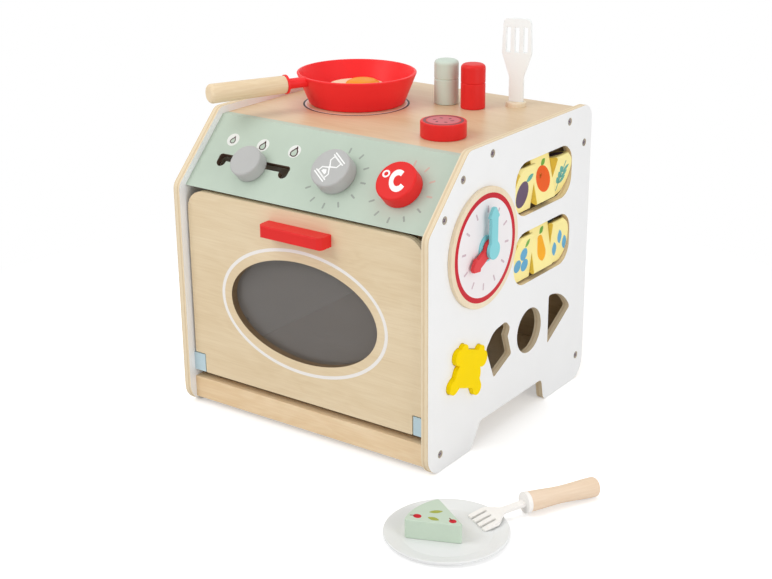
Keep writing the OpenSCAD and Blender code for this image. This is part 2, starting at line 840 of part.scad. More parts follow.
module pane_screw_places() {
    across = oval_w / 2 + pane_lap / 2;
    up = oval_h / 2 + pane_lap / 2;
    for (a = [30:60:330]) translate([across * cos(a), 0, oval_centre_h + up * sin(a)]) children();
}
module handle_screw() {
    translate([0, door_back_y, handle_centre_h]) rotate([-90, 0, 0])
        countersunk(door_t + handle_screw_depth, 0);
}
module handle_screws() {
    color([0.6, 0.6, 0.6]) for (side = [-1, 1])
        translate([side * handle_screw_span / 2, 0, 0]) handle_screw();
}
module oven_door() {
    edge = hinge_gap;
    color([0.87, 0.78, 0.65]) difference() {
        along_y(door_y, door_back_y) polygon(rounded([
            [-notch_x, floor_top_h, edge], [notch_x, floor_top_h, edge],
            [notch_x, notch_top_h, edge], [door_half, notch_top_h, edge],
            [door_half, door_top_h, door_corner_r], [-door_half, door_top_h, door_corner_r],
            [-door_half, notch_top_h, edge], [-notch_x, notch_top_h, edge]
        ]));
        along_y(door_y - past, door_back_y + past) translate([0, oval_centre_h])
            polygon(ellipse_points(oval_w / 2, oval_h / 2));
        hinge_bores(hinge_pin_r + running_gap, notch_x - hinge_pin_depth - rest_gap, notch_x + past);
        pane_screw_places() rod_y(pane_screw_r, door_back_y - pane_screw_depth, door_back_y + past);
        handle_screws();
    }
}
module window_pane() {
    color([0.4, 0.39, 0.38]) difference() {
        along_y(door_back_y, door_back_y + pane_t) translate([0, oval_centre_h])
            polygon(ellipse_points(oval_w / 2 + pane_lap, oval_h / 2 + pane_lap));
        pane_screw_places() rod_y(pane_screw_r, door_back_y - past, door_back_y + pane_t + past);
    }
}
module pane_screws() {
    seat = pane_screw_depth + pane_t;
    color([0.6, 0.6, 0.6]) pane_screw_places()
        translate([0, door_back_y - pane_screw_depth, 0]) rotate([-90, 0, 0]) rotate_extrude() polygon([
            [0, 0], [pane_screw_r, 0], [pane_screw_r, seat], [pane_screw_head_r, seat],
            [pane_screw_head_r, seat + pane_screw_head_h], [0, seat + pane_screw_head_h]
        ]);
}
module door_handle() {
    w = handle_w / 2;
    h = handle_h / 2;
    y0 = door_y - handle_d;
    color([0.9, 0.18, 0.18]) difference() {
        intersection() {
            translate([0, 0, handle_centre_h - h]) linear_extrude(handle_h) polygon(rounded([
                [-w, door_y, 0], [-w, y0, handle_corner_r], [w, y0, handle_corner_r], [w, door_y, 0]
            ]));
            along_x(-w, w) translate([0, handle_centre_h]) polygon(rounded([
                [door_y, -h, 0], [door_y, h, 0], [y0, h, handle_bevel], [y0, -h, handle_bevel]
            ]));
        }
        handle_screws();
    }
}

// Knobs
module knob(r, t, seat) {
    difference() {
        rotate_extrude() polygon(rounded([[0, 0, 0], [r, 0, 0.6], [r, t, knob_edge_r], [0, t, 0]]));
        if (seat > 0) translate([0, 0, -past]) cylinder(r = spindle_r, h = seat + past);
    }
}
module dial_knob(x) {
    on_slope(x, dial_s, rest_gap - control_recess) knob(dial_knob_r, dial_knob_t, spindle_seat);
}
module dial_spindle(x) {
    low = -control_recess - control_t - rest_gap - spindle_head_t;
    top = spindle_head_t + control_t + 2 * rest_gap + spindle_seat;
    color([0.85, 0.74, 0.58]) on_slope(x, dial_s, low) rotate_extrude() polygon([
        [0, 0], [spindle_head_r, 0], [spindle_head_r, spindle_head_t],
        [spindle_r, spindle_head_t], [spindle_r, top], [0, top]
    ]);
}
module timer_knob() {
    color([0.76, 0.76, 0.76]) dial_knob(timer_x);
}
module timer_spindle() {
    dial_spindle(timer_x);
}
module temperature_knob() {
    color([0.9, 0.18, 0.18]) dial_knob(temperature_x);
}
module temperature_spindle() {
    dial_spindle(temperature_x);
}
module slider_knob() {
    color([0.76, 0.76, 0.76])
        on_slope(slot_x, slot_s - slider_drop, rest_gap - control_recess) knob(slider_r, slider_t, 0);
}
module slider_peg() {
    low = -control_recess - control_t - rest_gap - slider_washer_t;
    color([0.85, 0.74, 0.58])
        on_slope(slot_x, slot_s, low) cylinder(r = slider_peg_r, h = rest_gap - control_recess - low);
}
module slider_washer() {
    low = -control_recess - control_t - rest_gap - slider_washer_t;
    color([0.85, 0.74, 0.58]) on_slope(slot_x, slot_s, low) difference() {
        cylinder(r = slider_washer_r, h = slider_washer_t);
        translate([0, 0, -past]) cylinder(r = slider_peg_r, h = slider_washer_t + 2 * past);
    }
}

// Clock
module clock_dial() {
    color([0.9, 0.88, 0.86]) translate([0, clock_y, clock_h]) difference() {
        rod_x(clock_r, outer_x, dial_face_x);
        rod_x(clock_spindle_r, outer_x - past, dial_face_x + past);
    }
}
module clock_spindle() {
    color([0.8, 0.7, 0.55]) translate([0, clock_y, clock_h]) {
        rod_x(clock_spindle_r, inner_x - clock_head_t, minute_face_x - hand_cover - rest_gap);
        rod_x(clock_head_r, inner_x - clock_head_t, inner_x);
    }
}
module hand_spacer() {
    color([0.38, 0.76, 0.78]) translate([0, clock_y, clock_h]) difference() {
        rod_x(spacer_r, dial_face_x, spacer_face_x);
        rod_x(clock_spindle_r, dial_face_x - past, spacer_face_x + past);
    }
}
module hand(reach) {
    stem = hand_stem_w / 2;
    wide = hand_arrow_w / 2;
    tip = hand_tip_w / 2;
    notch = reach - hand_arrow_len - 2;
    circle(r = hand_hub_r);
    polygon([
        [-stem, 0], [stem, 0], [stem, notch], [wide, notch + 2],
        [tip, reach], [-tip, reach], [-wide, notch + 2], [-stem, notch]
    ]);
}
module clock_hand(x0, reach, angle, bore_to) {
    translate([0, clock_y, clock_h]) difference() {
        along_x(x0, x0 + hand_t) rotate(-angle) hand(reach);
        rod_x(clock_spindle_r + running_gap, x0 - past, bore_to);
    }
}
module hour_hand() {
    color([0.87, 0.24, 0.26]) clock_hand(hour_x, hour_len, hour_angle, hour_x + hand_t + past);
}
module minute_hand() {
    color([0.45, 0.78, 0.82]) clock_hand(minute_x, minute_len, 0, minute_face_x - hand_cover);
}

// Picture blocks on their axles
module axle_bearer(y0) {
    low = lower_window_h - bearer_end;
    high = upper_window_h + bearer_end;
    color([0.87, 0.78, 0.65]) difference() {
        box(inner_x - bearer_w, inner_x, y0, y0 + bearer_t, low, high);
        for (h = [upper_window_h, lower_window_h])
            translate([axle_x, 0, h]) rod_y(axle_r, y0 - past, y0 + bearer_t + past);
    }
}
module front_axle_bearer() {
    axle_bearer(bearer_front_y);
}
module rear_axle_bearer() {
    axle_bearer(bearer_rear_y);
}
module axle(h) {
    color([0.85, 0.74, 0.58]) translate([axle_x, 0, h])
        rod_y(axle_r, bearer_front_y, bearer_rear_y + bearer_t);
}
module upper_axle() {
    axle(upper_window_h);
}
module lower_axle() {
    axle(lower_window_h);
}

// Half height of a window at a distance from its end, and the radius that a block may sweep there
function window_reach(t) =
    t >= window_corner_r ? window_h / 2
        : window_h / 2 - window_corner_r + sqrt(pow(window_corner_r, 2) - pow(window_corner_r - t, 2));
function sweep_r(t) = norm([axle_x - inner_x, window_reach(t)]) - block_corner_gap;

// The turned shape that the end blocks are cut to, from the window's end inwards
module corner_barrel(len) {
    stations = [for (i = [0:6]) block_gap + (window_corner_r - block_gap) * pow(i / 6, 1.6)];
    rotate([-90, 0, 0]) rotate_extrude() polygon(concat(
        [[0, 0]],
        [for (t = stations) [sweep_r(t), t - block_gap]],
        [[sweep_r(window_corner_r), len], [0, len]]
    ));
}
module block_prism() {
    corner = block_side / sqrt(3);
    rotate([-90, 0, 0]) linear_extrude(block_len) polygon(rounded([for (a = [60, 180, 300])
        [corner * cos(a), corner * sin(a), block_edge_r]]));
}
// place is 0 for the front block, 1 for the middle and 2 for the rear one
module picture_block(h, place, tilt) {
    y0 = window_y - window_w / 2 + block_gap + place * (block_len + block_gap);
    color([0.97, 0.91, 0.6]) translate([axle_x, y0, h]) rotate([0, tilt, 0]) difference() {
        intersection() {
            block_prism();
            if (place == 0) corner_barrel(block_len);
            if (place == 1) block_prism();
            if (place == 2) translate([0, block_len, 0]) rotate([180, 0, 0]) corner_barrel(block_len);
        }
        rod_y(axle_r + running_gap, -past, block_len + past);
    }
}
module upper_block_front() {
    picture_block(upper_window_h, 0, 8);
}
module upper_block_middle() {
    picture_block(upper_window_h, 1, -12);
}
module upper_block_rear() {
    picture_block(upper_window_h, 2, 16);
}
module lower_block_front() {
    picture_block(lower_window_h, 0, 6);
}
module lower_block_middle() {
    picture_block(lower_window_h, 1, -9);
}
module lower_block_rear() {
    picture_block(lower_window_h, 2, 7);
}

module bear_block() {
    face_x = outer_x + bear_proud;
    color([0.97, 0.85, 0.08])
        along_x(face_x - bear_t, face_x) translate([front_y + bear_front, bear_h]) bear_outline(0);
}

// Pan and egg
module on_pan_axis() {
    translate([-pan_left, pan_y, deck_h + pan_handle_h]) rotate([0, 90, pan_turn]) children();
}
module pan_bowl() {
    inner_base = pan_base_r - pan_wall;
    inner_rim = pan_rim_r - pan_wall;
    wood_from = pan_flange_dist + pan_flange_t;
    color([0.91, 0.18, 0.18]) difference() {
        union() {
            translate([-pan_left, pan_y, deck_h]) rotate_extrude() polygon(rounded([
                [0, 0, 0], [pan_base_r, 0, 3], [pan_rim_r, pan_h, 1], [0, pan_h, 0]
            ]));
            on_pan_axis() translate([0, 0, inner_base]) cylinder(r = pan_neck_r, h = wood_from - inner_base);
            on_pan_axis() translate([0, 0, pan_flange_dist]) cylinder(r = pan_flange_r, h = pan_flange_t);
            on_pan_axis() translate([0, 0, wood_from - past])
                cylinder(r = pan_tang_r, h = pan_tang_len + past);
        }
        translate([-pan_left, pan_y, egg_floor_h]) rotate_extrude() polygon(rounded([
            [0, 0, 0], [inner_base, 0, 3],
            [inner_rim, pan_h - pan_wall, 0], [inner_rim, pan_h + pan_neck_r, 0], [0, pan_h + pan_neck_r, 0]
        ]));
    }
}
module pan_handle() {
    wood_from = pan_flange_dist + pan_flange_t;
    color([0.85, 0.74, 0.58]) on_pan_axis() translate([0, 0, wood_from]) difference() {
        rotate_extrude() polygon(rounded([
            [0, 0, 0], [pan_grip_r, 0, 0.8], [pan_grip_end_r, pan_grip_len, 4], [0, pan_grip_len, 0]
        ]));
        translate([0, 0, -past]) cylinder(r = pan_tang_r, h = pan_tang_len + past);
    }
}
module at_egg(h) {
    translate([-pan_left - egg_left, pan_y + egg_back, h]) children();
}
module egg_white() {
    color([0.96, 0.94, 0.9]) at_egg(egg_floor_h) rotate_extrude() polygon(rounded([
        [0, 0, 0], [egg_r, 0, 1], [egg_r, egg_t, 3], [0, egg_t, 0]
    ]));
}
module egg_yolk() {
    dome_r = (pow(yolk_r, 2) + pow(yolk_h, 2)) / (2 * yolk_h);
    span = asin(yolk_r / dome_r);
    profile = [for (p = arc_points(dome_r, 90 - span, 90, 8)) [p[0], p[1] + yolk_h - dome_r]];
    color([0.98, 0.62, 0.12]) at_egg(egg_floor_h + egg_t) translate([yolk_right, yolk_back, 0])
        rotate_extrude() polygon(concat([[0, 0]], profile));
}

// Toys on the top panel
module shaker(x, rear) {
    g = shaker_groove;
    translate([x, back_y - rear, deck_h]) rotate_extrude() polygon(rounded([
        [0, 0, 0], [shaker_r, 0, 1],
        [shaker_r, shaker_groove_h - g, 0], [shaker_r - g, shaker_groove_h, 0],
        [shaker_r, shaker_groove_h + g, 0],
        [shaker_r, shaker_h, shaker_top_r], [0, shaker_h, 0]
    ]));
}
module mint_shaker() {
    color([0.74, 0.8, 0.74]) shaker(mint_x, mint_rear);
}
module red_shaker() {
    color([0.91, 0.18, 0.18]) shaker(red_x, red_rear);
}
module red_disc() {
    color([0.91, 0.18, 0.18]) translate([disc_x, front_y + disc_front, deck_h]) rotate_extrude()
        polygon(rounded([[0, 0, 0], [disc_r, 0, 1], [disc_r, disc_h, 1], [0, disc_h, 0]]));
}
module spatula_collar() {
    color([0.88, 0.75, 0.6]) difference() {
        translate([collar_x, back_y - collar_rear, deck_h]) rotate_extrude()
            polygon(rounded([[0, 0, 0], [collar_r, 0, 0], [collar_r, collar_h, 1.2], [0, collar_h, 0]]));
        spatula_socket(deck_h - past, deck_h + collar_h + past, socket_gap);
    }
}
module spatula() {
    s = stem_w / 2;
    b = blade_w / 2;
    foot = -top_t + rest_gap;
    pitch = (blade_w - 3 * blade_slot_w) / 4 + blade_slot_w;
    slot_top = spatula_h - blade_slot_drop;
    color([0.94, 0.92, 0.89]) translate([collar_x, back_y - collar_rear, deck_h]) rotate(spatula_turn)
        along_y(-spatula_t / 2, spatula_t / 2) difference() {
            polygon(rounded([
                [-s, foot, 0.5], [s, foot, 0.5], [s, blade_start_h - 6, 8], [b, blade_start_h + 18, 8],
                [b - 1.5, spatula_h, blade_corner_r], [1.5 - b, spatula_h, blade_corner_r],
                [-b, blade_start_h + 18, 8], [-s, blade_start_h - 6, 8]
            ]));
            for (i = [-1:1]) translate([i * pitch, slot_top - blade_slot_len / 2])
                square([blade_slot_w, blade_slot_len], center = true);
        }
}

// Plate, cake and fork on the floor
module plate() {
    color([0.97, 0.97, 0.97]) translate([plate_x, plate_y, 0]) rotate_extrude() polygon(rounded([
        [0, 0, 0], [plate_base_r, 0, 1], [plate_r, plate_h - plate_t, 1],
        [plate_r - 0.4, plate_h, 1], [plate_base_r - 1, plate_t, 2], [0, plate_t, 0]
    ]));
}
module cake_slice() {
    ends = arc_points(cake_r, -cake_angle / 2, cake_angle / 2, 8);
    color([0.76, 0.84, 0.76]) translate([plate_x + cake_tip_x, plate_y - cake_tip_y, plate_floor_h])
        rotate(cake_turn) linear_extrude(cake_h)
            polygon(rounded([for (i = [-1:len(ends) - 1])
                i < 0 ? [0, 0, 2] : [ends[i][0], ends[i][1], i == 0 || i == len(ends) - 1 ? 2.5 : 0]]));
}
// The fork lies with its tips on the plate and its handle on the floor
module on_fork() {
    translate([plate_x + fork_tip_x, plate_y + fork_tip_y, 0]) rotate(fork_turn) children();
}
module fork_side() {
    tip_h = plate_floor_h + rest_gap;
    root_h = tip_h + tine_rise;
    rim_h = plate_h + neck_lift;
    shoulder = tines_len + 6;
    polygon([
        [0, tip_h], [tines_len, root_h], [shoulder, rim_h],
        [fork_neck_end, fork_collar_h - fork_t / 2], [fork_neck_end, fork_collar_h + fork_t / 2],
        [shoulder, rim_h + fork_t], [tines_len, root_h + fork_t], [0, tip_h + fork_t / 2]
    ]);
}
module fork_plan() {
    w = tines_w / 2;
    n = fork_neck_w / 2;
    tine_w = (tines_w - 3 * tine_gap) / 4;
    difference() {
        polygon(rounded([
            [0, -w, 1.5], [0, w, 1.5], [tines_len, w, 6], [tines_len + 11, n, 6], [fork_neck_end, n, 0],
            [fork_neck_end, -n, 0], [tines_len + 11, -n, 6], [tines_len, -w, 6]
        ]));
        for (i = [-1:1]) translate([0, i * (tine_w + tine_gap)]) {
            square([2 * tines_len - tine_gap, tine_gap], center = true);
            translate([tines_len - tine_gap / 2, 0]) circle(d = tine_gap);
        }
    }
}
module on_fork_handle(d) {
    on_fork() translate([fork_head_len, 0, fork_collar_h]) rotate([0, 90 + fork_fall, 0])
        translate([0, 0, d]) children();
}
module fork_head() {
    color([0.95, 0.94, 0.92]) {
        on_fork() intersection() {
            linear_extrude(fork_collar_h + fork_t) fork_plan();
            along_y(-tines_w, tines_w) fork_side();
        }
        on_fork_handle(0) cylinder(r = fork_collar_r, h = fork_collar_t);
        on_fork_handle(0) cylinder(r = fork_tang_r, h = fork_collar_t + fork_tang_len);
    }
}
module fork_handle() {
    n = 8;
    wave = [for (i = [0:n]) [fork_waist_r + (fork_grip_r - fork_waist_r) * pow(cos(180 * i / n), 2),
                             i * (fork_grip_len - 4) / n]];
    color([0.88, 0.76, 0.61]) on_fork_handle(fork_collar_t) difference() {
        rotate_extrude() polygon(concat(
            [[0, 0]], wave,
            [for (p = arc_points(4, 20, 90, 4)) [fork_grip_r - 4 + p[0], fork_grip_len - 4 + p[1]]],
            [[0, fork_grip_len]]
        ));
        translate([0, 0, -past]) cylinder(r = fork_tang_r, h = fork_tang_len + past);
    }
}

left_side_panel();
right_side_panel();
top_panel();
control_panel();
back_panel();
oven_floor();
front_rail();
stop_rail();
panel_screws();
left_hinge_block();
right_hinge_block();
hinge_pins();
oven_door();
window_pane();
pane_screws();
door_handle();
handle_screws();
slider_knob();
slider_peg();
slider_washer();
timer_knob();
timer_spindle();
temperature_knob();
temperature_spindle();
clock_dial();
clock_spindle();
hand_spacer();
hour_hand();
minute_hand();
front_axle_bearer();
rear_axle_bearer();
upper_axle();
lower_axle();
upper_block_front();
upper_block_middle();
upper_block_rear();
lower_block_front();
lower_block_middle();
lower_block_rear();
bear_block();
pan_bowl();
pan_handle();
egg_white();
egg_yolk();
mint_shaker();
red_shaker();
red_disc();
spatula_collar();
spatula();
plate();
cake_slice();
fork_head();
fork_handle();
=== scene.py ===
"""Looks of the wooden toy oven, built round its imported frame. Sizes are in mm, and mm() gives metres."""

import json
import math

import bmesh
import bpy
from mathutils import Matrix, Vector, geometry


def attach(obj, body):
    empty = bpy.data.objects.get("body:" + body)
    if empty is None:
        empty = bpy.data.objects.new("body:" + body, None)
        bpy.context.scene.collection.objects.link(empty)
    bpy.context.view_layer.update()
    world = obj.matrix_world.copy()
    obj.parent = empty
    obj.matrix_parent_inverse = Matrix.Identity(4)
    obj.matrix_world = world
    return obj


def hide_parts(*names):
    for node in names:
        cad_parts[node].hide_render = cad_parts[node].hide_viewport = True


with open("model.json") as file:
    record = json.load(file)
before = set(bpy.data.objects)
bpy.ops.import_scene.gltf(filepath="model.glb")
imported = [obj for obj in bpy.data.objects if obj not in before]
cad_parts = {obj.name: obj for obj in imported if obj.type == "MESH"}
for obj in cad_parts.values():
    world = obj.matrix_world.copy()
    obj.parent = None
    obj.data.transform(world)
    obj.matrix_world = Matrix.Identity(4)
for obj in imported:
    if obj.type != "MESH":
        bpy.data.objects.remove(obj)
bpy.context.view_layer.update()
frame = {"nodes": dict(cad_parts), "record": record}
NODES = frame["nodes"]
BODY_OF = {node: body for body, nodes in frame["record"]["behaviour"]["bodies"].items() for node in nodes}


def mm(*values):
    return Vector(values) * 0.001


# Sizes of the part, in millimetres

OUTER_X, BOARD_T, FRONT_Y, DECK_Z = 150, 7.5, -147, 291.5
SLOPE = math.radians(45.44)
SLOPE_FOOT_Z, CONTROL_RECESS = 233, 7
SLOT_LEFT, SLOT_RIGHT, SLOT_Z, SLOT_REACH = -122, -30, 256.5, 16
DOOR_Y, OVAL_Z, OVAL_W, OVAL_H = -139, 128.5, 88, 51
DOOR_TOP, DOOR_HALF, CORNER_R, LOOK_CORNER_R, TOP_GAP_EXTRA = 231, 140, 15, 20, 2.5
CLOCK_Y, CLOCK_Z, DIAL_X = -59, 202, 154
AXLE_X, BLOCK_IN_R, BLOCK_LEN = 134.07, 14.43, 35.53
BLOCK_Y, BLOCK_ENDS = (-0.4, 35.73, 71.87), ("front", "middle", "rear")
WINDOW_Z = {"upper": 239, "lower": 168.5}
TILTS = {"upper": (8, -12, 16), "lower": (6, -9, 7)}
EGG, YOLK = Vector((-71.8, 47)), Vector((-65.8, 50))
MINT_AT, RED_AT, DISC_AT = Vector((14.6, 84.5)), Vector((48, 82.6)), Vector((86.8, -29.3))
DIAL_S, TIMER_X, TEMPERATURE_X, SLIDER_X, SLIDER_S = 46.6, 22.2, 96.2, -76, 37.6
KNOB_R, KNOB_T, SLIDER_R, SLIDER_T, REST_GAP = 20.2, 15.2, 16.5, 13.7, 0.3
SHAKER_R, SHAKER_H, GROOVE_H, GROOVE = 12.5, 45, 26, 0.8
DISC_R, DISC_H, EGG_R, EGG_T, YOLK_R, PAN_WALL = 22, 15.4, 30, 12.5, 18, 3
PLATE, PLATE_R, PLATE_BASE_R, PLATE_FLOOR = Vector((219.4, -220.3)), 55, 41, 2.5
CAKE_TIP, CAKE_TURN = PLATE + Vector((23, -8.5)), math.radians(175)
CAKE_TOP = PLATE_FLOOR + 18
PAINT_LOW, PAINT_HIGH = -0.03, 0.07


# Materials

class Shader:
    """A material under construction: node() makes a node and sets or links its inputs by name or number."""

    def __init__(self, name):
        self.material = bpy.data.materials.new(name)
        self.material.use_nodes = True
        self.tree = self.material.node_tree
        self.tree.nodes.clear()
        self.out = self.tree.nodes.new("ShaderNodeOutputMaterial")
        self.place = self.node("TexCoord").outputs["Object"]

    def node(self, kind, settings=None, **inputs):
        made = self.tree.nodes.new("ShaderNode" + kind)
        for key, value in (settings or {}).items():
            setattr(made, key, value)
        for key, value in inputs.items():
            name = key.replace("_", " ")
            socket = made.inputs[int(key[1:])] if key[1:].isdigit() else made.inputs[name]
            if isinstance(value, bpy.types.NodeSocket):
                self.tree.links.new(value, socket)
            else:
                socket.default_value = value
        return made

    def math(self, operation, a, b=0.0):
        return self.node("Math", {"operation": operation}, i0=a, i1=b).outputs[0]

    def noise(self, scale, detail=3.0, rough=0.5, distort=0.0):
        """Noise over the object, with a scale per metre along each axis."""
        at = self.node("Mapping", Vector=self.place, Scale=scale).outputs[0]
        return self.node("TexNoise", Vector=at, Scale=1.0, Detail=detail, Roughness=rough,
                         Distortion=distort).outputs["Fac"]

    def span(self, value, low, high, to_low=0.0, to_high=1.0):
        return self.node("MapRange", Value=value, From_Min=low, From_Max=high,
                         To_Min=to_low, To_Max=to_high).outputs[0]

    def mix(self, share, a, b):
        made = self.node("Mix", {"data_type": "RGBA"}, i0=share)
        for socket, value in ((made.inputs[6], a), (made.inputs[7], b)):
            if isinstance(value, bpy.types.NodeSocket):
                self.tree.links.new(value, socket)
            else:
                socket.default_value = value
        return made.outputs[2]

    def bump(self, height, depth, strength=1.0):
        return self.node("Bump", Height=height, Distance=depth, Strength=strength).outputs[0]

    def finish(self, colour, roughness, normal, **constants):
        bsdf = self.node("BsdfPrincipled", Base_Color=colour, Roughness=roughness, Normal=normal)
        for key, value in constants.items():
            bsdf.inputs[key.replace("_", " ")].default_value = value
        self.tree.links.new(bsdf.outputs[0], self.out.inputs[0])
        return self.material


def linear(r, g, b):
    """sRGB values from 0 to 255 as a linear colour."""
    curve = (v / 255 / 12.92 if v < 10 else ((v / 255 + 0.055) / 1.055) ** 2.4 for v in (r, g, b))
    return tuple(curve) + (1.0,)


def times(colour, share):
    """A colour made darker or lighter by a share, at most 1."""
    return tuple(min(1.0, v * share) for v in colour[:3]) + (1.0,)


def stretched(axis, along, across):
    return tuple(along if i == axis else across for i in range(3))


def wood(name, light, dark, axis=0, figure=0.5, pores=0.5, rough=0.5, scale=1.0, turn=0.0, shine=0.25):
    """Lacquered wood, its grain along an axis that may turn about Z: tone, figure, fibres and dark pores."""
    m = Shader(name)
    m.place = m.node("Mapping", Vector=m.place, Rotation=(0.0, 0.0, -math.radians(turn))).outputs[0]
    k = scale
    tone = m.noise(stretched(axis, 5 * k, 22 * k), 2.0)
    warp = m.noise(stretched(axis, 7 * k, 34 * k), 3.0, 0.55, 0.6)
    rings = m.math("SINE", m.math("MULTIPLY", warp, 46.0))
    fibres = m.noise(stretched(axis, 24 * k, 700 * k), 5.0, 0.6)
    dashes = m.noise(stretched(axis, 110 * k, 2400 * k), 2.0, 0.5)
    share = m.math("ADD", m.span(tone, 0.3, 0.7, 0.15, 0.85),
                   m.math("MULTIPLY", rings, 0.16 * figure))
    share = m.math("ADD", share, m.span(fibres, 0.3, 0.7, -0.3, 0.3))
    share = m.math("MAXIMUM", m.math("MINIMUM", share, 1.0), 0.0)
    colour = m.mix(share, dark, light)
    pore = m.span(dashes, 0.66, 0.76, 0.0, 0.34 * pores)
    colour = m.mix(pore, colour, times(dark, 0.62))
    height = m.math("SUBTRACT", fibres, m.math("MULTIPLY", pore, 1.5))
    roughness = m.span(fibres, 0.2, 0.8, rough - 0.07, rough + 0.09)
    return m.finish(colour, roughness, m.bump(height, 0.00006, 0.5), Specular_IOR_Level=shine)


def painted(name, colour, rough=0.42, axis=2, grain=0.5, tint=0.035, shine=0.16):
    """Paint on wood: slightly uneven, with the grain just felt through it and faint rubbed spots."""
    m = Shader(name)
    cloud = m.noise((26, 26, 26), 4.0, 0.6)
    under = m.noise(stretched(axis, 30, 520), 4.0, 0.55)
    specks = m.noise((900, 900, 900), 2.0, 0.6)
    shade = m.mix(m.span(cloud, 0.3, 0.7), times(colour, 1 - tint), times(colour, 1 + tint * 0.6))
    worn = m.span(specks, 0.72, 0.8, 0.0, 0.12)
    shade = m.mix(worn, shade, times(colour, 0.8))
    height = m.math("ADD", m.math("MULTIPLY", under, grain), m.math("MULTIPLY", specks, 0.35))
    roughness = m.span(cloud, 0.25, 0.75, rough - 0.06, rough + 0.08)
    return m.finish(shade, roughness, m.bump(height, 0.00005, 0.6), Specular_IOR_Level=shine)


def plastic(name, colour, rough=0.34, tint=0.02, depth=0.00003, **constants):
    """Moulded plastic: a fine even skin with slight flow marks and smudges."""
    m = Shader(name)
    flow = m.noise((14, 14, 30), 3.0, 0.5, 0.8)
    skin = m.noise((1600, 1600, 1600), 2.0, 0.5)
    smudge = m.noise((60, 60, 60), 3.0, 0.7)
    shade = m.mix(m.span(flow, 0.3, 0.7), times(colour, 1 - tint), colour)
    roughness = m.span(smudge, 0.3, 0.75, rough - 0.05, rough + 0.1)
    constants.setdefault("Specular_IOR_Level", 0.2)
    return m.finish(shade, roughness, m.bump(skin, depth, 0.6), **constants)


def ply_edge(name, axis, outer, thickness, light, dark, layers=5):
    """The cut edge of plywood: layers across the board's thickness, with end grain and dark glue lines."""
    m = Shader(name)
    split = m.node("SeparateXYZ", Vector=m.place).outputs[axis]
    if axis == 0:
        split = m.math("ABSOLUTE", split)
    depth = m.math("DIVIDE", m.math("SUBTRACT", outer * 0.001, split), thickness * 0.001)
    wander = m.noise((60, 60, 60), 2.0)
    depth = m.math("ADD", depth, m.span(wander, 0.0, 1.0, -0.03, 0.03))
    ply = m.math("FRACT", m.math("MULTIPLY", depth, layers / 2))
    odd = m.span(m.math("ABSOLUTE", m.math("SUBTRACT", ply, 0.5)), 0.2, 0.3)
    grain = m.noise((1300, 180, 180), 3.0, 0.6)
    glue = m.math("FRACT", m.math("ADD", m.math("MULTIPLY", depth, layers), 0.5))
    line = m.span(m.math("ABSOLUTE", m.math("SUBTRACT", glue, 0.5)), 0.0, 0.09, 0.35, 0.0)
    share = m.math("ADD", m.math("MULTIPLY", odd, 0.75), m.span(grain, 0.3, 0.7, -0.22, 0.22))
    colour = m.mix(m.math("MAXIMUM", share, 0.0), light, dark)
    colour = m.mix(line, colour, times(dark, 0.5))
    return m.finish(colour, m.span(grain, 0.2, 0.8, 0.55, 0.75), m.bump(grain, 0.00008, 0.5),
                    Specular_IOR_Level=0.25)


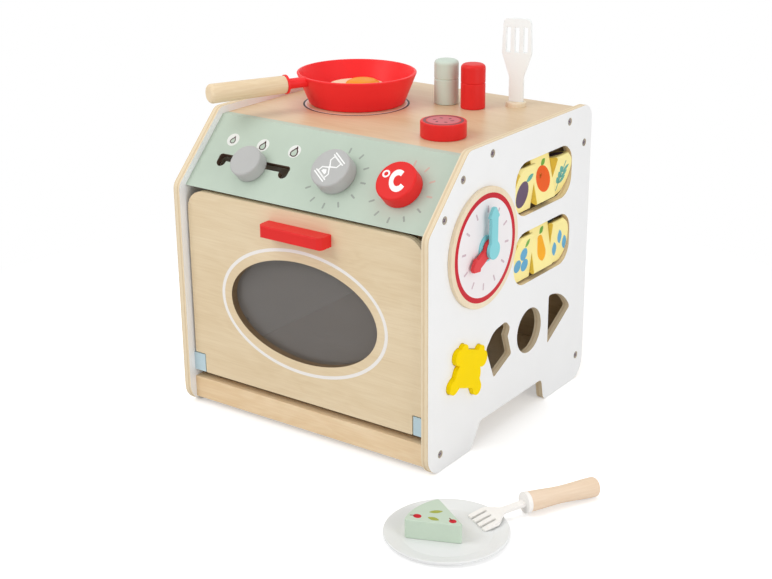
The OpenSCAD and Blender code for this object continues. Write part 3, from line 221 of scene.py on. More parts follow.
PLY_LIGHT, PLY_DARK = linear(231, 212, 179), linear(220, 197, 160)
EDGE_LIGHT, EDGE_DARK = linear(235, 218, 188), linear(219, 196, 160)
MATERIALS = {
    "deck": wood("deck_ply", linear(225, 202, 168), linear(210, 182, 142), axis=0, figure=0.7, rough=0.36,
                 shine=0.45),
    "door": wood("door_ply", PLY_LIGHT, PLY_DARK, axis=0, figure=0.8),
    "inner": wood("inner_ply", linear(216, 192, 155), linear(196, 168, 126), axis=0, figure=0.8),
    "pine": wood("pine", linear(240, 216, 180), linear(228, 198, 156), axis=0, figure=1.2, scale=0.8),
    "white": painted("white_paint", linear(240, 240, 240), rough=0.36, axis=2, grain=0.35, tint=0.012),
    "mint": painted("mint_paint", linear(189, 203, 188), axis=0),
    "red": painted("red_paint", linear(226, 44, 42), rough=0.4, axis=0),
    "grey": painted("grey_paint", linear(184, 184, 182), rough=0.45, axis=0),
    "turquoise": painted("turquoise_paint", linear(138, 210, 217), axis=2),
    "hand_red": painted("hand_red_paint", linear(226, 66, 70), axis=2),
    "mint_toy": painted("mint_toy_paint", linear(204, 216, 203), axis=2),
    "mint_cake": painted("mint_cake_paint", linear(198, 214, 196), axis=0),
    "yellow": painted("yellow_paint", linear(252, 218, 0), rough=0.5, axis=1, shine=0.05),
    "block": painted("block_paint", linear(253, 238, 160), axis=1),
    "gold": painted("block_end_paint", linear(234, 202, 84), axis=2),
    "pan": plastic("pan_plastic", linear(247, 46, 48), 0.38),
    "egg": plastic("egg_white_paint", linear(250, 226, 192), 0.4),
    "yolk": plastic("yolk_paint", linear(250, 160, 28), 0.38, tint=0.12),
    "milk": plastic("milk_plastic", linear(245, 248, 247), 0.4),
    "cream": plastic("cream_plastic", linear(245, 242, 238), 0.4),
    "plate": plastic("plate_plastic", linear(232, 233, 232), 0.34),
    "pale_blue": plastic("pale_blue_plastic", linear(190, 212, 220), 0.42, depth=0.00005),
    "pane": plastic("smoked_pane", linear(132, 128, 125), 0.08, tint=0.05, Alpha=0.4,
                    Specular_IOR_Level=0.5),
    "steel": plastic("screw_steel", linear(176, 168, 156), 0.5, tint=0.3, depth=0.00006, Metallic=0.5),
    "dowel": wood("dowel_wood", linear(234, 214, 180), linear(219, 190, 148), axis=1, figure=0.5),
    "dowel_x": wood("dowel_wood_across", linear(234, 214, 180), linear(219, 190, 148), axis=0, figure=0.5),
    "dial": wood("dial_wood", linear(243, 230, 206), linear(233, 213, 181), axis=2, figure=0.4),
    "pan_grip": wood("pan_grip_wood", linear(236, 215, 182), linear(222, 194, 154), axis=0, figure=0.5,
                     turn=-113.5),
    "fork_grip": wood("fork_grip_wood", linear(236, 214, 190), linear(226, 199, 170), axis=0, figure=0.5,
                      turn=61.5),
    # A lighter wood than the inner ply: painted light, for the light that falls on the oven floor through
    # the pane.
    "oven_floor": wood("oven_floor_painted_light_ply", linear(240, 221, 190), linear(229, 205, 168), axis=0, figure=0.6),
    # Dark brown wood: the burnt cut wall of the door's oval, and painted shade where it dresses the stop
    # rail and the oven floor's front edge in the dark gaps round the door.
    "burnt_cut_and_painted_shade": wood("burnt_cut_and_shade_wood", linear(134, 112, 86), linear(106, 86, 62), axis=0, figure=0.6),
    "slot_wall": wood("slot_wall_wood", linear(120, 96, 80), linear(92, 72, 60), axis=0, figure=0.6),
    "board_edge": ply_edge("side_board_edge", 0, OUTER_X, BOARD_T, EDGE_LIGHT, EDGE_DARK, layers=3),
    "deck_edge": ply_edge("deck_edge", 2, DECK_Z, BOARD_T, EDGE_LIGHT, EDGE_DARK),
    "door_edge": ply_edge("door_edge", 1, DOOR_Y + BOARD_T, BOARD_T, EDGE_LIGHT, EDGE_DARK),
    "print_white": painted("print_white", linear(246, 246, 244), axis=0, grain=0.2, tint=0.01),
    "print_pale": painted("print_pale", linear(230, 231, 226), axis=0, grain=0.2, tint=0.01),
    "print_dark": painted("print_dark", linear(72, 46, 46), axis=0, grain=0.2),
    "print_slate": painted("print_slate", linear(30, 29, 28), axis=0, grain=0.2),
    "print_grey": painted("print_grey", linear(158, 166, 157), axis=0, grain=0.2),
    "print_blush": painted("print_blush", linear(206, 178, 164), axis=0, grain=0.2),
    "print_ring": painted("print_ring", linear(240, 236, 232), axis=0, grain=0.2, tint=0.01),
    "print_pink": painted("print_pink", linear(207, 184, 192), axis=0, grain=0.2),
    "print_red": painted("print_red", linear(200, 26, 44), axis=0, grain=0.2),
    "print_face": painted("print_face", linear(240, 235, 236), axis=2, grain=0.3, tint=0.02),
    # Plum print on the picture blocks; the same colour on the screw heads is painted shade for their cross
    # recesses.
    "plum_print_and_recess_shade": painted("plum_print_and_recess_shade", linear(98, 78, 104), axis=2, grain=0.3, tint=0.12),
    "print_orange": painted("print_orange", linear(240, 96, 28), axis=2, grain=0.3, tint=0.12),
    "print_amber": painted("print_amber", linear(246, 172, 34), axis=2, grain=0.3, tint=0.1),
    "print_teal": painted("print_teal", linear(96, 172, 160), axis=2, grain=0.3, tint=0.1),
    "print_blue": painted("print_blue", linear(98, 170, 208), axis=2, grain=0.3, tint=0.1),
    "print_olive": painted("print_olive", linear(164, 172, 74), axis=0, grain=0.3, tint=0.12),
    "print_green": painted("print_green", linear(112, 170, 72), axis=2, grain=0.3, tint=0.1),
    "print_rose": painted("print_rose", linear(208, 108, 116), axis=0, grain=0.3, tint=0.1),
    "print_wine": painted("print_wine", linear(130, 62, 66), axis=0, grain=0.3, tint=0.1),
}


# Outlines, in millimetres

def points(*pairs):
    return [Vector(pair) for pair in pairs]


def corner_arc(a, b, c, r, steps):
    """The round of radius r that takes the place of corner b between a and c."""
    a, b, c = Vector(a), Vector(b), Vector(c)
    u, v = (a - b).normalized(), (c - b).normalized()
    half = math.acos(max(-1.0, min(1.0, u.dot(v)))) / 2
    centre = b + (u + v).normalized() * r / math.sin(half)
    first = b + u * r / math.tan(half) - centre
    last = b + v * r / math.tan(half) - centre
    start = math.atan2(first.y, first.x)
    turn = (math.atan2(last.y, last.x) - start + 3 * math.pi) % (2 * math.pi) - math.pi
    return [centre + r * Vector((math.cos(start + turn * i / steps), math.sin(start + turn * i / steps)))
            for i in range(steps + 1)]


def rounded(points, steps=6):
    """An outline whose points are (x, y, radius)."""
    out = []
    for i, (x, y, r) in enumerate(points):
        before, after = points[i - 1][:2], points[(i + 1) % len(points)][:2]
        out += corner_arc(before, (x, y), after, r, steps) if r > 0 else [Vector((x, y))]
    return out


def ellipse(cx, cy, a, b=None, turn=0.0, steps=48):
    b = a if b is None else b
    c, s = math.cos(math.radians(turn)), math.sin(math.radians(turn))
    out = []
    for i in range(steps):
        t = 2 * math.pi * i / steps
        x, y = a * math.cos(t), b * math.sin(t)
        out.append(Vector((cx + x * c - y * s, cy + x * s + y * c)))
    return out


def leaf(x, y, length, width, turn, steps=10):
    """A pointed leaf from its stalk at (x, y)."""
    c, s = math.cos(math.radians(turn)), math.sin(math.radians(turn))
    top = [(length * i / steps, width / 2 * math.sin(math.pi * i / steps) ** 0.8) for i in range(steps + 1)]
    ring = top + [(u, -v) for u, v in reversed(top[1:-1])]
    return [Vector((x + u * c - v * s, y + u * s + v * c)) for u, v in ring]


def bar(x, y, length, width, turn):
    c, s = math.cos(math.radians(turn)), math.sin(math.radians(turn))
    h, w = length / 2, width / 2
    ring = rounded([(-h, -w, w * 0.9), (h, -w, w * 0.9), (h, w, w * 0.9), (-h, w, w * 0.9)], 3)
    return [Vector((x + p.x * c - p.y * s, y + p.x * s + p.y * c)) for p in ring]


def moved(ring, dx=0.0, dy=0.0, turn=0.0, scale=1.0):
    c, s = math.cos(math.radians(turn)) * scale, math.sin(math.radians(turn)) * scale
    return [Vector((p.x * c - p.y * s + dx, p.x * s + p.y * c + dy)) for p in ring]


def arc_band(r0, r1, a0, a1, steps=24):
    """Part of a ring between two radii and two angles."""
    angles = [math.radians(a0 + (a1 - a0) * i / steps) for i in range(steps + 1)]
    return ([Vector((r1 * math.cos(t), r1 * math.sin(t))) for t in angles]
            + [Vector((r0 * math.cos(t), r0 * math.sin(t))) for t in reversed(angles)])


# Meshes

def signed_area(ring):
    return sum(p.x * q.y - q.x * p.y for p, q in zip(ring, ring[1:] + ring[:1])) / 2


def add_prism(bm, ring, holes, low, high, place, index=0):
    """A closed flat plate between two heights, with holes, put in place by place(u, v, height)."""
    rings = [ring if signed_area(ring) > 0 else ring[::-1]]
    rings += [h[::-1] if signed_area(h) > 0 else h for h in holes]
    loops = [[[bm.verts.new(place(p.x, p.y, t)) for p in r] for t in (low, high)] for r in rings]
    flat = [[p.to_3d() for p in r] for r in rings]
    order = geometry.tessellate_polygon(flat)
    bottom = [v for pair in loops for v in pair[0]]
    top = [v for pair in loops for v in pair[1]]
    spots = [p for r in rings for p in r]
    for tri in order:
        a, b, c = (spots[i] for i in tri)
        if (b - a).cross(c - a) < 0:
            tri = tri[::-1]
        faces = bm.faces.new([top[i] for i in tri]), bm.faces.new([bottom[i] for i in reversed(tri)])
        for face in faces:
            face.material_index = index
    for lower, upper in loops:
        for i in range(len(lower)):
            j = (i + 1) % len(lower)
            bm.faces.new((lower[i], lower[j], upper[j], upper[i])).material_index = index


def add_lathe(bm, profile, place, steps=96, index=0):
    """A turned solid: profile is (radius, height) from the axis to the axis."""
    rows, turns = [], [2 * math.pi * i / steps for i in range(steps)]
    for r, h in profile:
        around = [(r * math.cos(t), r * math.sin(t)) for t in turns] if r > 1e-6 else [(0, 0)]
        rows.append([bm.verts.new(place(u, v, h)) for u, v in around])
    for lower, upper in zip(rows, rows[1:]):
        for i in range(steps):
            j = (i + 1) % steps
            ring = [row[k % len(row)] for row, k in ((lower, i), (lower, j), (upper, j), (upper, i))]
            ring = list(dict.fromkeys(ring))
            if len(ring) > 2:
                bm.faces.new(ring).material_index = index


def solid(name, bm, body, materials, replaces=(), sharp=35):
    """Turns a bmesh into a shown piece that rides on a body."""
    bmesh.ops.recalc_face_normals(bm, faces=bm.faces)
    mesh = bpy.data.meshes.new(name)
    bm.to_mesh(mesh)
    bm.free()
    for material in materials:
        mesh.materials.append(MATERIALS[material])
    mesh.shade_smooth()
    mesh.set_sharp_from_angle(angle=math.radians(sharp))
    piece = bpy.data.objects.new(name, mesh)
    bpy.context.scene.collection.objects.link(piece)
    weighted = piece.modifiers.new("even_normals", "WEIGHTED_NORMAL")
    weighted.keep_sharp = True
    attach(piece, body)
    if replaces:
        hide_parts(*replaces)
    return piece


def dressed(node, materials, bevel=0.5, segments=3, pick=None, trim=None):
    """A finished copy of a CAD node: its flat faces joined and its edges broken by a small round bevel.
    pick(normal, centre) gives the number of a face's material, and trim(vertices) shifts some of them."""
    bm = bmesh.new()
    bm.from_mesh(NODES[node].data)
    bmesh.ops.remove_doubles(bm, verts=bm.verts, dist=1e-6)
    bmesh.ops.dissolve_limit(bm, angle_limit=math.radians(0.5), verts=bm.verts, edges=bm.edges)
    if trim:
        trim(bm.verts)
    bm.normal_update()
    for face in bm.faces:
        face.material_index = pick(face.normal, face.calc_center_median()) if pick else 0
    if bevel:
        edges = [e for e in bm.edges if len(e.link_faces) == 2 and e.calc_face_angle(0) > math.radians(30)]
        bmesh.ops.bevel(bm, geom=edges, offset=bevel * 0.001, offset_type="OFFSET", segments=segments,
                        profile=0.5, affect="EDGES", clamp_overlap=True, material=-1)
    return solid("finished_" + node, bm, BODY_OF[node], materials, [node])


def across(axis):
    """Faces that look along an axis take material 0, and the others material 1."""
    return lambda normal, centre: 0 if abs(normal[axis]) > 0.7 else 1


def printed(name, body, shapes, place, materials, low=PAINT_LOW, high=PAINT_HIGH):
    """Thin paint prints: shapes is a list of (material number, outline, holes)."""
    bm = bmesh.new()
    for index, ring, holes in shapes:
        add_prism(bm, ring, holes, low, high, place, index)
    return solid(name, bm, body, materials)


# Places: each turns an outline's (u, v, height) into a point of the frame in metres

def on_slope(x, s, lift=0.0):
    c, n = math.cos(SLOPE), math.sin(SLOPE)

    def place(u, v, h):
        along, out = s + v, lift - CONTROL_RECESS + h
        return mm(x + u, FRONT_Y + along * c - out * n, SLOPE_FOOT_Z + along * n + out * c)
    return place


def on_door(u, v, h):
    return mm(u, DOOR_Y - h, v)


def on_deck(x, y, z=DECK_Z, turn=0.0):
    c, s = math.cos(turn), math.sin(turn)
    return lambda u, v, h: mm(x + u * c - v * s, y + u * s + v * c, z + h)


def on_dial(u, v, h):
    return mm(DIAL_X + h, CLOCK_Y + u, CLOCK_Z + v)


def on_block(row, column, side):
    """A point on one of the three faces of a picture block, with u along the axle and v up the face."""
    turn = math.radians(TILTS[row][column] + 120 * side)
    c, s = math.cos(turn), math.sin(turn)
    y = BLOCK_Y[column] + BLOCK_LEN / 2

    def place(u, v, h):
        out = BLOCK_IN_R + h
        return mm(AXLE_X + out * c + v * s, y + u, WINDOW_Z[row] - out * s + v * c)
    return place


# Cabinet

for node in ("left_side_panel", "right_side_panel"):
    dressed(node, ["white", "board_edge"], 0.7, pick=across(0))
dressed("top_panel", ["deck", "deck_edge"], 0.4, pick=across(2))


def slot_walls(normal, centre):
    """The cut walls of the slot take material 1."""
    out = abs(normal.z * math.cos(SLOPE) - normal.y * math.sin(SLOPE))
    x, z = centre.x * 1000, centre.z * 1000
    return int(out < 0.5 and SLOT_LEFT < x < SLOT_RIGHT and abs(z - SLOT_Z) < SLOT_REACH)


dressed("control_panel", ["mint", "slot_wall"], 0.3, pick=slot_walls)
dressed("back_panel", ["inner"], 0.4)
# The oven floor's top takes the lighter wood of painted light; its front edge takes the dark brown of
# painted shade for the gap under the door.
dressed("oven_floor", ["oven_floor", "burnt_cut_and_painted_shade"], 0.4, pick=lambda normal, centre: int(normal.y < -0.7))
dressed("front_rail", ["pine"], 0.9)
# The stop rail is dark brown all over: painted shade for the dark gap between the door and the control
# panel.
dressed("stop_rail", ["burnt_cut_and_painted_shade"], 0.4)
for node in ("left_hinge_block", "right_hinge_block"):
    dressed(node, ["pale_blue"], 0.6)
for node in ("front_axle_bearer", "rear_axle_bearer"):
    dressed(node, ["inner"], 0.5)


def door_faces(normal, centre):
    """The faces take material 0, the outer edges 1 and the cut wall of the oval 2."""
    if abs(normal.y) > 0.7:
        return 0
    x, z = abs(centre.x * 1000), abs(centre.z * 1000 - OVAL_Z)
    return 2 if x < OVAL_W + 0.5 and z < OVAL_H + 0.5 else 1


def top_corners(verts):
    """Gives the door rounder top corners under a wider gap, through which the dark inside shows."""
    low, grown = DOOR_TOP - CORNER_R, LOOK_CORNER_R / CORNER_R
    for vert in verts:
        x, z = vert.co.x * 1000, vert.co.z * 1000
        if z > low - 0.01 and abs(x) > DOOR_HALF - CORNER_R - 0.01:
            side = math.copysign(1, x)
            vert.co.x = side * (DOOR_HALF - LOOK_CORNER_R + (abs(x) - DOOR_HALF + CORNER_R) * grown) * 0.001
            vert.co.z = (DOOR_TOP - TOP_GAP_EXTRA - LOOK_CORNER_R + (z - low) * grown) * 0.001


dressed("oven_door", ["door", "door_edge", "burnt_cut_and_painted_shade"], 0.8, pick=door_faces, trim=top_corners)
dressed("window_pane", ["pane"], 0.3)
dressed("door_handle", ["red"], 0.5)
dressed("clock_dial", ["dial"], 0.6)
dressed("hand_spacer", ["turquoise"], 0.3)
dressed("hour_hand", ["hand_red"], 0.7)
dressed("minute_hand", ["turquoise"], 0.7)
dressed("bear_block", ["yellow"], 1.6)
dressed("cake_slice", ["mint_cake"], 0.9)
dressed("spatula", ["milk"], 0.7)
dressed("fork_head", ["cream"], 0.5)
for row in WINDOW_Z:
    for end in BLOCK_ENDS:
        dressed(f"{row}_block_{end}", ["gold", "block"], 0.8, pick=across(1))

dressed("pan_bowl", ["pan"], 0.3)
dressed("panel_screws", ["steel"], 0.0)


def turned(node, material, place, *profile, steps=5):
    """A turned piece in place of a node: profile is (radius, height, rounding) from the axis to the axis."""
    bm = bmesh.new()
    add_lathe(bm, [(p.x, p.y) for p in rounded(profile, steps)], place)
    solid("finished_" + node, bm, BODY_OF[node], [material], [node])


def knob(node, material, x, s, r, thick):
    turned(node, material, on_slope(x, s, REST_GAP),
           (0, 0, 0), (r, 0, 0.6), (r, thick, 2), (0, thick, 0))


knob("slider_knob", "grey", SLIDER_X, SLIDER_S, SLIDER_R, SLIDER_T)
knob("timer_knob", "grey", TIMER_X, DIAL_S, KNOB_R, KNOB_T)
knob("temperature_knob", "red", TEMPERATURE_X, DIAL_S, KNOB_R, KNOB_T)
for node, material, at in (("mint_shaker", "mint_toy", MINT_AT), ("red_shaker", "red", RED_AT)):
    turned(node, material, on_deck(at.x, at.y), (0, 0, 0), (SHAKER_R, 0, 1),
           (SHAKER_R, GROOVE_H - GROOVE, 0.3), (SHAKER_R - GROOVE, GROOVE_H, 0.2),
           (SHAKER_R, GROOVE_H + GROOVE, 0.3), (SHAKER_R, SHAKER_H, 4), (0, SHAKER_H, 0))
turned("red_disc", "red", on_deck(DISC_AT.x, DISC_AT.y),
       (0, 0, 0), (DISC_R, 0, 1), (DISC_R, DISC_H, 1.2), (0, DISC_H, 0))
turned("egg_white", "egg", on_deck(EGG.x, EGG.y, DECK_Z + PAN_WALL),
       (0, 0, 0), (EGG_R, 0, 1), (EGG_R, EGG_T, 3.5), (0, EGG_T, 0), steps=8)
turned("egg_yolk", "yolk", on_deck(YOLK.x, YOLK.y, DECK_Z + PAN_WALL + EGG_T),
       (0, 0, 0), (YOLK_R, 0, 0), (YOLK_R - 1, 2.2, 1.5), (12.6, 4.7, 5), (6, 6, 6), (0, 6, 0))
turned("plate", "plate", on_deck(PLATE.x, PLATE.y, 0),
       (0, 0, 0), (PLATE_BASE_R, 0, 1), (PLATE_R, 3.5, 1), (PLATE_R - 0.4, 6, 0.8),
       (PLATE_BASE_R - 1, PLATE_FLOOR, 3), (0, PLATE_FLOOR, 0))

KEPT = {
    "hinge_pins": "steel", "pane_screws": "steel", "handle_screws": "steel",
    "slider_peg": "dowel", "slider_washer": "dowel",
    "timer_spindle": "dowel", "temperature_spindle": "dowel",
    "clock_spindle": "dowel_x", "upper_axle": "dowel", "lower_axle": "dowel",
    "pan_handle": "pan_grip", "spatula_collar": "dial", "fork_handle": "fork_grip",
}
for node, material in KEPT.items():
    slots = NODES[node].data.materials
    slots.clear()
    slots.append(MATERIALS[material])

# Prints

printed("door_ring_print", "door", [
    (0, moved(ellipse(0, 0, 100.1, 63.2, steps=96), 0, OVAL_Z),
     [moved(ellipse(0, 0, 96.6, 59.9, steps=96), 0, OVAL_Z)])
], on_door, ["print_ring"])

HOB_AT, HOB_RADII = Vector((-60, 31)), (54.4, 52.4, 50.8)
printed("hob_ring_print", "cabinet", [
    (number, ellipse(0, 0, outer, steps=96), [ellipse(0, 0, inner, steps=96)])
    for number, (outer, inner) in enumerate(zip(HOB_RADII, HOB_RADII[1:]))
], on_deck(HOB_AT.x, HOB_AT.y), ["print_slate", "print_pale"])

FLAME_S, FLAME_DISC_R = 62.6, 7
FLAMES = ((-113.7, 0.95), (-75.9, 1.15), (-37.0, 1.3))
FLAME_OUT = points((0, -4.6), (2.6, -4.0), (3.7, -2.0), (3.3, 0.4), (2.1, 1.9), (1.7, 3.6), (0.6, 4.9),
                   (0.1, 3.3), (-1.2, 1.8), (-2.5, 0.6), (-3.3, -1.2), (-2.7, -3.6))
FLAME_IN = points((0.1, -3.7), (1.9, -3.2), (2.6, -1.8), (2.2, 0.2), (1.2, 1.6), (0.4, 2.2), (-0.6, 0.9),
                  (-1.7, -0.2), (-2.3, -1.4), (-1.9, -3.0))
for number, (x, size) in enumerate(FLAMES):
    flame, core = moved(FLAME_OUT, scale=size), moved(FLAME_IN, scale=size)
    printed(f"flame_print_{number + 1}", "cabinet",
            [(0, ellipse(0, 0, FLAME_DISC_R), [flame]), (1, flame, [core])],
            on_slope(x, FLAME_S), ["print_pale", "print_dark"])

TICK_R, TICK_LENGTH, TICK_WIDTH = 30, 6.2, 1.9
for name, x, s in (("timer", 23.2, 44.3), ("temperature", 96.7, 43.9)):
    ticks = [(1 if name == "temperature" and a > -20 else 0,
              moved(bar(TICK_R, 0, TICK_LENGTH, TICK_WIDTH, 0), turn=a), [])
             for a in range(-150, 91, 30)]
    printed(f"{name}_tick_print", "cabinet", ticks, on_slope(x, s), ["print_grey", "print_blush"])


def hourglass():
    """Two double bars, two open bulbs and the sand in the lower one."""
    wide, neck, tall, line = 6.6, 4.6, 10.0, 1.3
    shapes = []
    for side in (-1, 1):
        shapes += [(0, bar(0, side * (tall + lift), 2 * wide + 4.5, line, 0), []) for lift in (0.4, 2.9)]
        outer = points((-0.9, 0), (0.9, 0), (wide, side * neck), (wide, side * tall),
                       (-wide, side * tall), (-wide, side * neck))
        inner = points((0, side * 1.2), (wide - line, side * (neck + 0.5)),
                       (wide - line, side * (tall - 0.6)), (line - wide, side * (tall - 0.6)),
                       (line - wide, side * (neck + 0.5)))
        shapes.append((0, outer, [inner]))
    sand = points((0, -3.4), (3.0, -5.8), (3.0, -8.0), (-3.0, -8.0), (-3.0, -5.8))
    return shapes + [(0, sand, [])]


KNOB_FACE = REST_GAP + KNOB_T
GLASS_TURN = -33
glass = [(i, moved(ring, turn=GLASS_TURN), [moved(h, turn=GLASS_TURN) for h in holes])
         for i, ring, holes in hourglass()]
printed("timer_print", "timer", glass, on_slope(TIMER_X, DIAL_S, KNOB_FACE), ["print_white"])
LETTER_TURN = 25
letter = [Vector((p.x * 0.88 + 2.2, p.y * 1.2 - 1.2)) for p in arc_band(4.8, 9.8, 42, 318)]
ring, hole = (ellipse(-9.2, 9.2, r, steps=32) for r in (3.9, 2.1))
degree = [(0, moved(letter, turn=LETTER_TURN), []),
          (0, moved(ring, turn=LETTER_TURN), [moved(hole, turn=LETTER_TURN)])]
printed("temperature_print", "temperature", degree, on_slope(TEMPERATURE_X, DIAL_S, KNOB_FACE),
        ["print_white"])

RIM_R, FACE_R, CENTRE_R, HOUR_R, HOUR_TURN = 52, 47, 3.5, 37, 5
ticks = [(0, moved(bar(HOUR_R, 0, 7, 2.1, 0), turn=90 - HOUR_TURN - a), []) for a in range(0, 360, 30)]
printed("clock_print", "cabinet", [
    (1, ellipse(0, 0, RIM_R, steps=96), [ellipse(0, 0, FACE_R, steps=96)]),
    (0, ellipse(0, 0, FACE_R, steps=96), [ellipse(0, 0, CENTRE_R, steps=24)]),
], on_dial, ["print_face", "print_red"])
printed("clock_tick_print", "cabinet", ticks, on_dial, ["print_pink"], low=0.05, high=0.12)

# Painted shade: a dark plum cross printed on the head of each screw in the side boards, standing in for the
# shade in its cross recess
SINK_X = OUTER_X - 0.5
SCREWS = [(-43, 287.75), (101, 287.75), (132.5, 260), (132.5, 27), (-126.5, 17.9)]
SCREWS += [tuple(on_slope(0, s, -3)(0, 0, 0).yz * 1000) for s in (26, 68)]
CROSS = points((2.3, 0.5), (0.5, 0.5), (0.5, 2.3), (-0.5, 2.3), (-0.5, 0.5), (-2.3, 0.5), (-2.3, -0.5),
               (-0.5, -0.5), (-0.5, -2.3), (0.5, -2.3), (0.5, -0.5), (2.3, -0.5))
for side, name in ((1, "right"), (-1, "left")):
    crosses = []
    for number, (y, z) in enumerate(SCREWS):
        turn = 25 + 37 * number
        crosses.append((0, moved(CROSS, y, z, turn), []))
    printed(f"{name}_screw_recess_shade", "cabinet", crosses,
            lambda u, v, h: mm(side * (SINK_X + h), u, v), ["plum_print_and_recess_shade"])

# Motifs on the picture blocks: simple fruit, leaves and berries

PALETTE = ["plum_print_and_recess_shade", "print_orange", "print_amber", "print_teal", "print_blue", "print_green"]
PLUM, ORANGE, AMBER, TEAL, BLUE, GREEN = range(6)
MOTIFS = {
    "plum": [(PLUM, ellipse(-1, -3, 8.5, 10.5, 12), []), (TEAL, leaf(0, 7, 10, 5, 40), [])],
    "orange": [(ORANGE, ellipse(0, -1, 10), []), (GREEN, leaf(0, 9, 8, 4, 30), []),
               (AMBER, ellipse(-3, 2, 2.2, 1.2, 40), [])],
    "sprig": [(TEAL, bar(0, 0, 26, 1.2, 70), [])]
             + [(TEAL, leaf(1.6 * k, 4.5 * k - 2, 9, 4.2, 70 + side * 48), [])
                for k in (-1, 0, 1) for side in (-1, 1)],
    "berries": [(BLUE, ellipse(x, y, 5), []) for x, y in ((-5, -5), (5.6, -4), (0.4, 4.5))]
               + [(GREEN, leaf(0, 9.8, 8, 4, 60), [])],
    "pear": [(AMBER, rounded([(-8, -11, 7), (8, -11, 7), (3, 9, 3), (-3, 9, 3)], 8), []),
             (GREEN, leaf(0, 10, 8, 4, 35), [])],
    "drops": [(BLUE, leaf(x, y, 13, 6.5, 90), []) for x, y in ((-7, -10), (1, -3), (8, -12))],
}
ROWS = {"upper": ("plum", "orange", "sprig"), "lower": ("berries", "pear", "drops")}
NAMES = list(MOTIFS)
for row, motifs in ROWS.items():
    for column, (end, first) in enumerate(zip(BLOCK_ENDS, motifs)):
        bm = bmesh.new()
        for side in range(3):
            motif = MOTIFS[NAMES[(NAMES.index(first) + 2 * side) % len(NAMES)]]
            for index, ring, holes in motif:
                add_prism(bm, moved(ring, turn=15 * (column - 1), scale=1.3), holes, PAINT_LOW, PAINT_HIGH,
                          on_block(row, column, side), index)
        solid(f"{row}_{end}_print", bm, f"{row}_{end}_block", PALETTE)

# Prints on the toys

disc_top = [(1, ellipse(0, 0, 15.4, steps=64), [])]
disc_top += [(0, ellipse(0, 0, 19.4, steps=64), [ellipse(0, 0, 16.6, steps=64)])]
disc_top += [(0, ellipse(8.6 * math.cos(t), 8.6 * math.sin(t), 2.0, 1.3, math.degrees(t) + 40), [])
             for t in (k * math.pi / 3 + 0.3 for k in range(6))]
for number, shapes in enumerate((disc_top[:2], disc_top[2:])):
    printed(f"disc_print_{number + 1}", "disc", shapes, on_deck(DISC_AT.x, DISC_AT.y, DECK_Z + DISC_H),
            ["print_wine", "print_rose"], low=PAINT_LOW + 0.05 * number, high=PAINT_HIGH + 0.05 * number)

cake = [(1, ellipse(12, 0, 3.4, 3.0), []), (2, bar(15.5, -1.5, 5, 1.0, -25), []),
        (1, ellipse(41, 12, 3.8, 3.2), []), (2, bar(45.2, 13.5, 4.5, 1.0, 30), []),
        (0, leaf(22, 6, 11, 5, 10), []), (0, leaf(29, -8, 12, 5, 45), [])]
printed("cake_print", "cake", cake, on_deck(CAKE_TIP.x, CAKE_TIP.y, CAKE_TOP, CAKE_TURN),
        ["print_olive", "print_red", "print_wine"])


# Floor, light and camera

AMBIENT, FLOOR_LIFT = 0.63, 0.38


def seen_background(tree):
    """1 for a ray from the camera and for one that gloss or glass sends on, and 0 for the others."""
    path = tree.nodes.new("ShaderNodeLightPath")
    seen = path.outputs["Is Camera Ray"]
    for name in ("Is Glossy Ray", "Is Transmission Ray"):
        join = tree.nodes.new("ShaderNodeMath")
        join.operation = "MAXIMUM"
        tree.links.new(seen, join.inputs[0])
        tree.links.new(path.outputs[name], join.inputs[1])
        seen = join.outputs[0]
    return seen


def backdrop_material():
    """A white floor that keeps the object's shadow and turns to plain white away from the object."""
    m = Shader("studio_floor")
    paper = m.noise((3, 3, 3), 2.0)
    shade = m.mix(m.span(paper, 0.3, 0.7, 0.0, 0.01), (0.87, 0.87, 0.87, 1.0), (0.85, 0.85, 0.85, 1.0))
    shadow = m.node("BsdfDiffuse", Color=shade)
    white = m.node("Emission", Color=(1.0, 1.0, 1.0, 1.0), Strength=1.0)
    lift = m.node("Emission", Color=(1.0, 1.0, 1.0, 1.0), Strength=FLOOR_LIFT)
    near = m.node("AddShader", i0=shadow.outputs[0], i1=lift.outputs[0])
    far = m.span(m.node("VectorMath", {"operation": "LENGTH"}, i0=m.place).outputs["Value"], 0.3, 0.62)
    for_eye = m.node("MixShader", i0=far, i1=near.outputs[0], i2=white.outputs[0])
    for_light = m.node("BsdfDiffuse", Color=(0.8, 0.8, 0.8, 1.0))
    both = m.node("MixShader", i0=seen_background(m.tree), i1=for_light.outputs[0], i2=for_eye.outputs[0])
    m.tree.links.new(both.outputs[0], m.out.inputs[0])
    return m.material


bm = bmesh.new()
bmesh.ops.create_grid(bm, x_segments=8, y_segments=8, size=6.0)
floor_mesh = bpy.data.meshes.new("floor")
bm.to_mesh(floor_mesh)
bm.free()
floor = bpy.data.objects.new("floor", floor_mesh)
floor.data.materials.append(backdrop_material())
floor.location.z = -0.0002
bpy.context.scene.collection.objects.link(floor)

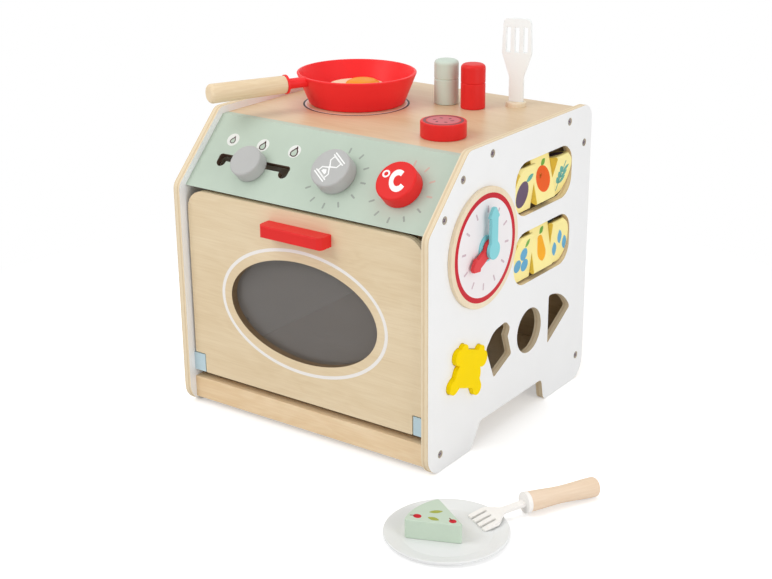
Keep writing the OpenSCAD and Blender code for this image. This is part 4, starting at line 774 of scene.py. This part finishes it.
world = bpy.data.worlds.new("studio")
bpy.context.scene.world = world
world.use_nodes = True
tree = world.node_tree
tree.nodes.clear()
choose = tree.nodes.new("ShaderNodeMixShader")
tree.links.new(seen_background(tree), choose.inputs[0])
for slot, strength in ((1, AMBIENT), (2, 1.0)):
    sky = tree.nodes.new("ShaderNodeBackground")
    sky.inputs["Color"].default_value = (1, 1, 1, 1)
    sky.inputs["Strength"].default_value = strength
    tree.links.new(sky.outputs[0], choose.inputs[slot])
tree.links.new(choose.outputs[0], tree.nodes.new("ShaderNodeOutputWorld").inputs[0])


def softbox(name, place, size, power, aim=(0.0, -0.02, 0.15)):
    light = bpy.data.lights.new(name, "AREA")
    light.shape = "RECTANGLE"
    light.size, light.size_y = size
    light.energy = power
    lamp = bpy.data.objects.new(name, light)
    lamp.location = place
    lamp.rotation_euler = (Vector(aim) - Vector(place)).to_track_quat("-Z", "Y").to_euler()
    bpy.context.scene.collection.objects.link(lamp)


softbox("key", (-0.9, -1.5, 1.7), (1.4, 1.4), 19)
softbox("side", (1.9, -0.5, 0.5), (1.2, 1.4), 13)
softbox("top", (0.1, 0.5, 2.2), (1.6, 1.2), 7)

YAW, ELEVATION, ROLL = (math.radians(v) for v in (33.42, 20.56, 0.41))
FOCAL_PX, WIDTH_PX, CENTRE_X_PX, CENTRE_Y_PX = 1460.31, 772, 60.0, -1.23
STAND_RIGHT, STAND_UP, STAND_BACK, FILM = 141.77, 147.03, 1424.41, 36
right = Vector((math.cos(YAW), math.sin(YAW), 0))
ahead = Vector((-math.sin(YAW), math.cos(YAW), 0))
back = Vector((0, 0, math.sin(ELEVATION))) - ahead * math.cos(ELEVATION)
up = back.cross(right)
right, up = (right * math.cos(ROLL) + up * math.sin(ROLL), up * math.cos(ROLL) - right * math.sin(ROLL))
camera_data = bpy.data.cameras.new("camera")
camera = bpy.data.objects.new("camera", camera_data)
bpy.context.scene.collection.objects.link(camera)
camera_data.lens = FOCAL_PX / WIDTH_PX * FILM
camera_data.shift_x = -CENTRE_X_PX / WIDTH_PX
camera_data.shift_y = CENTRE_Y_PX / WIDTH_PX
stand = (right * STAND_RIGHT + up * STAND_UP + back * STAND_BACK) * 0.001 + mm(0, FRONT_Y, 0)
camera.matrix_world = Matrix((
    (right.x, up.x, back.x, stand.x), (right.y, up.y, back.y, stand.y),
    (right.z, up.z, back.z, stand.z), (0, 0, 0, 1)))
bpy.context.scene.camera = camera
bpy.context.scene.view_settings.view_transform = "Standard"
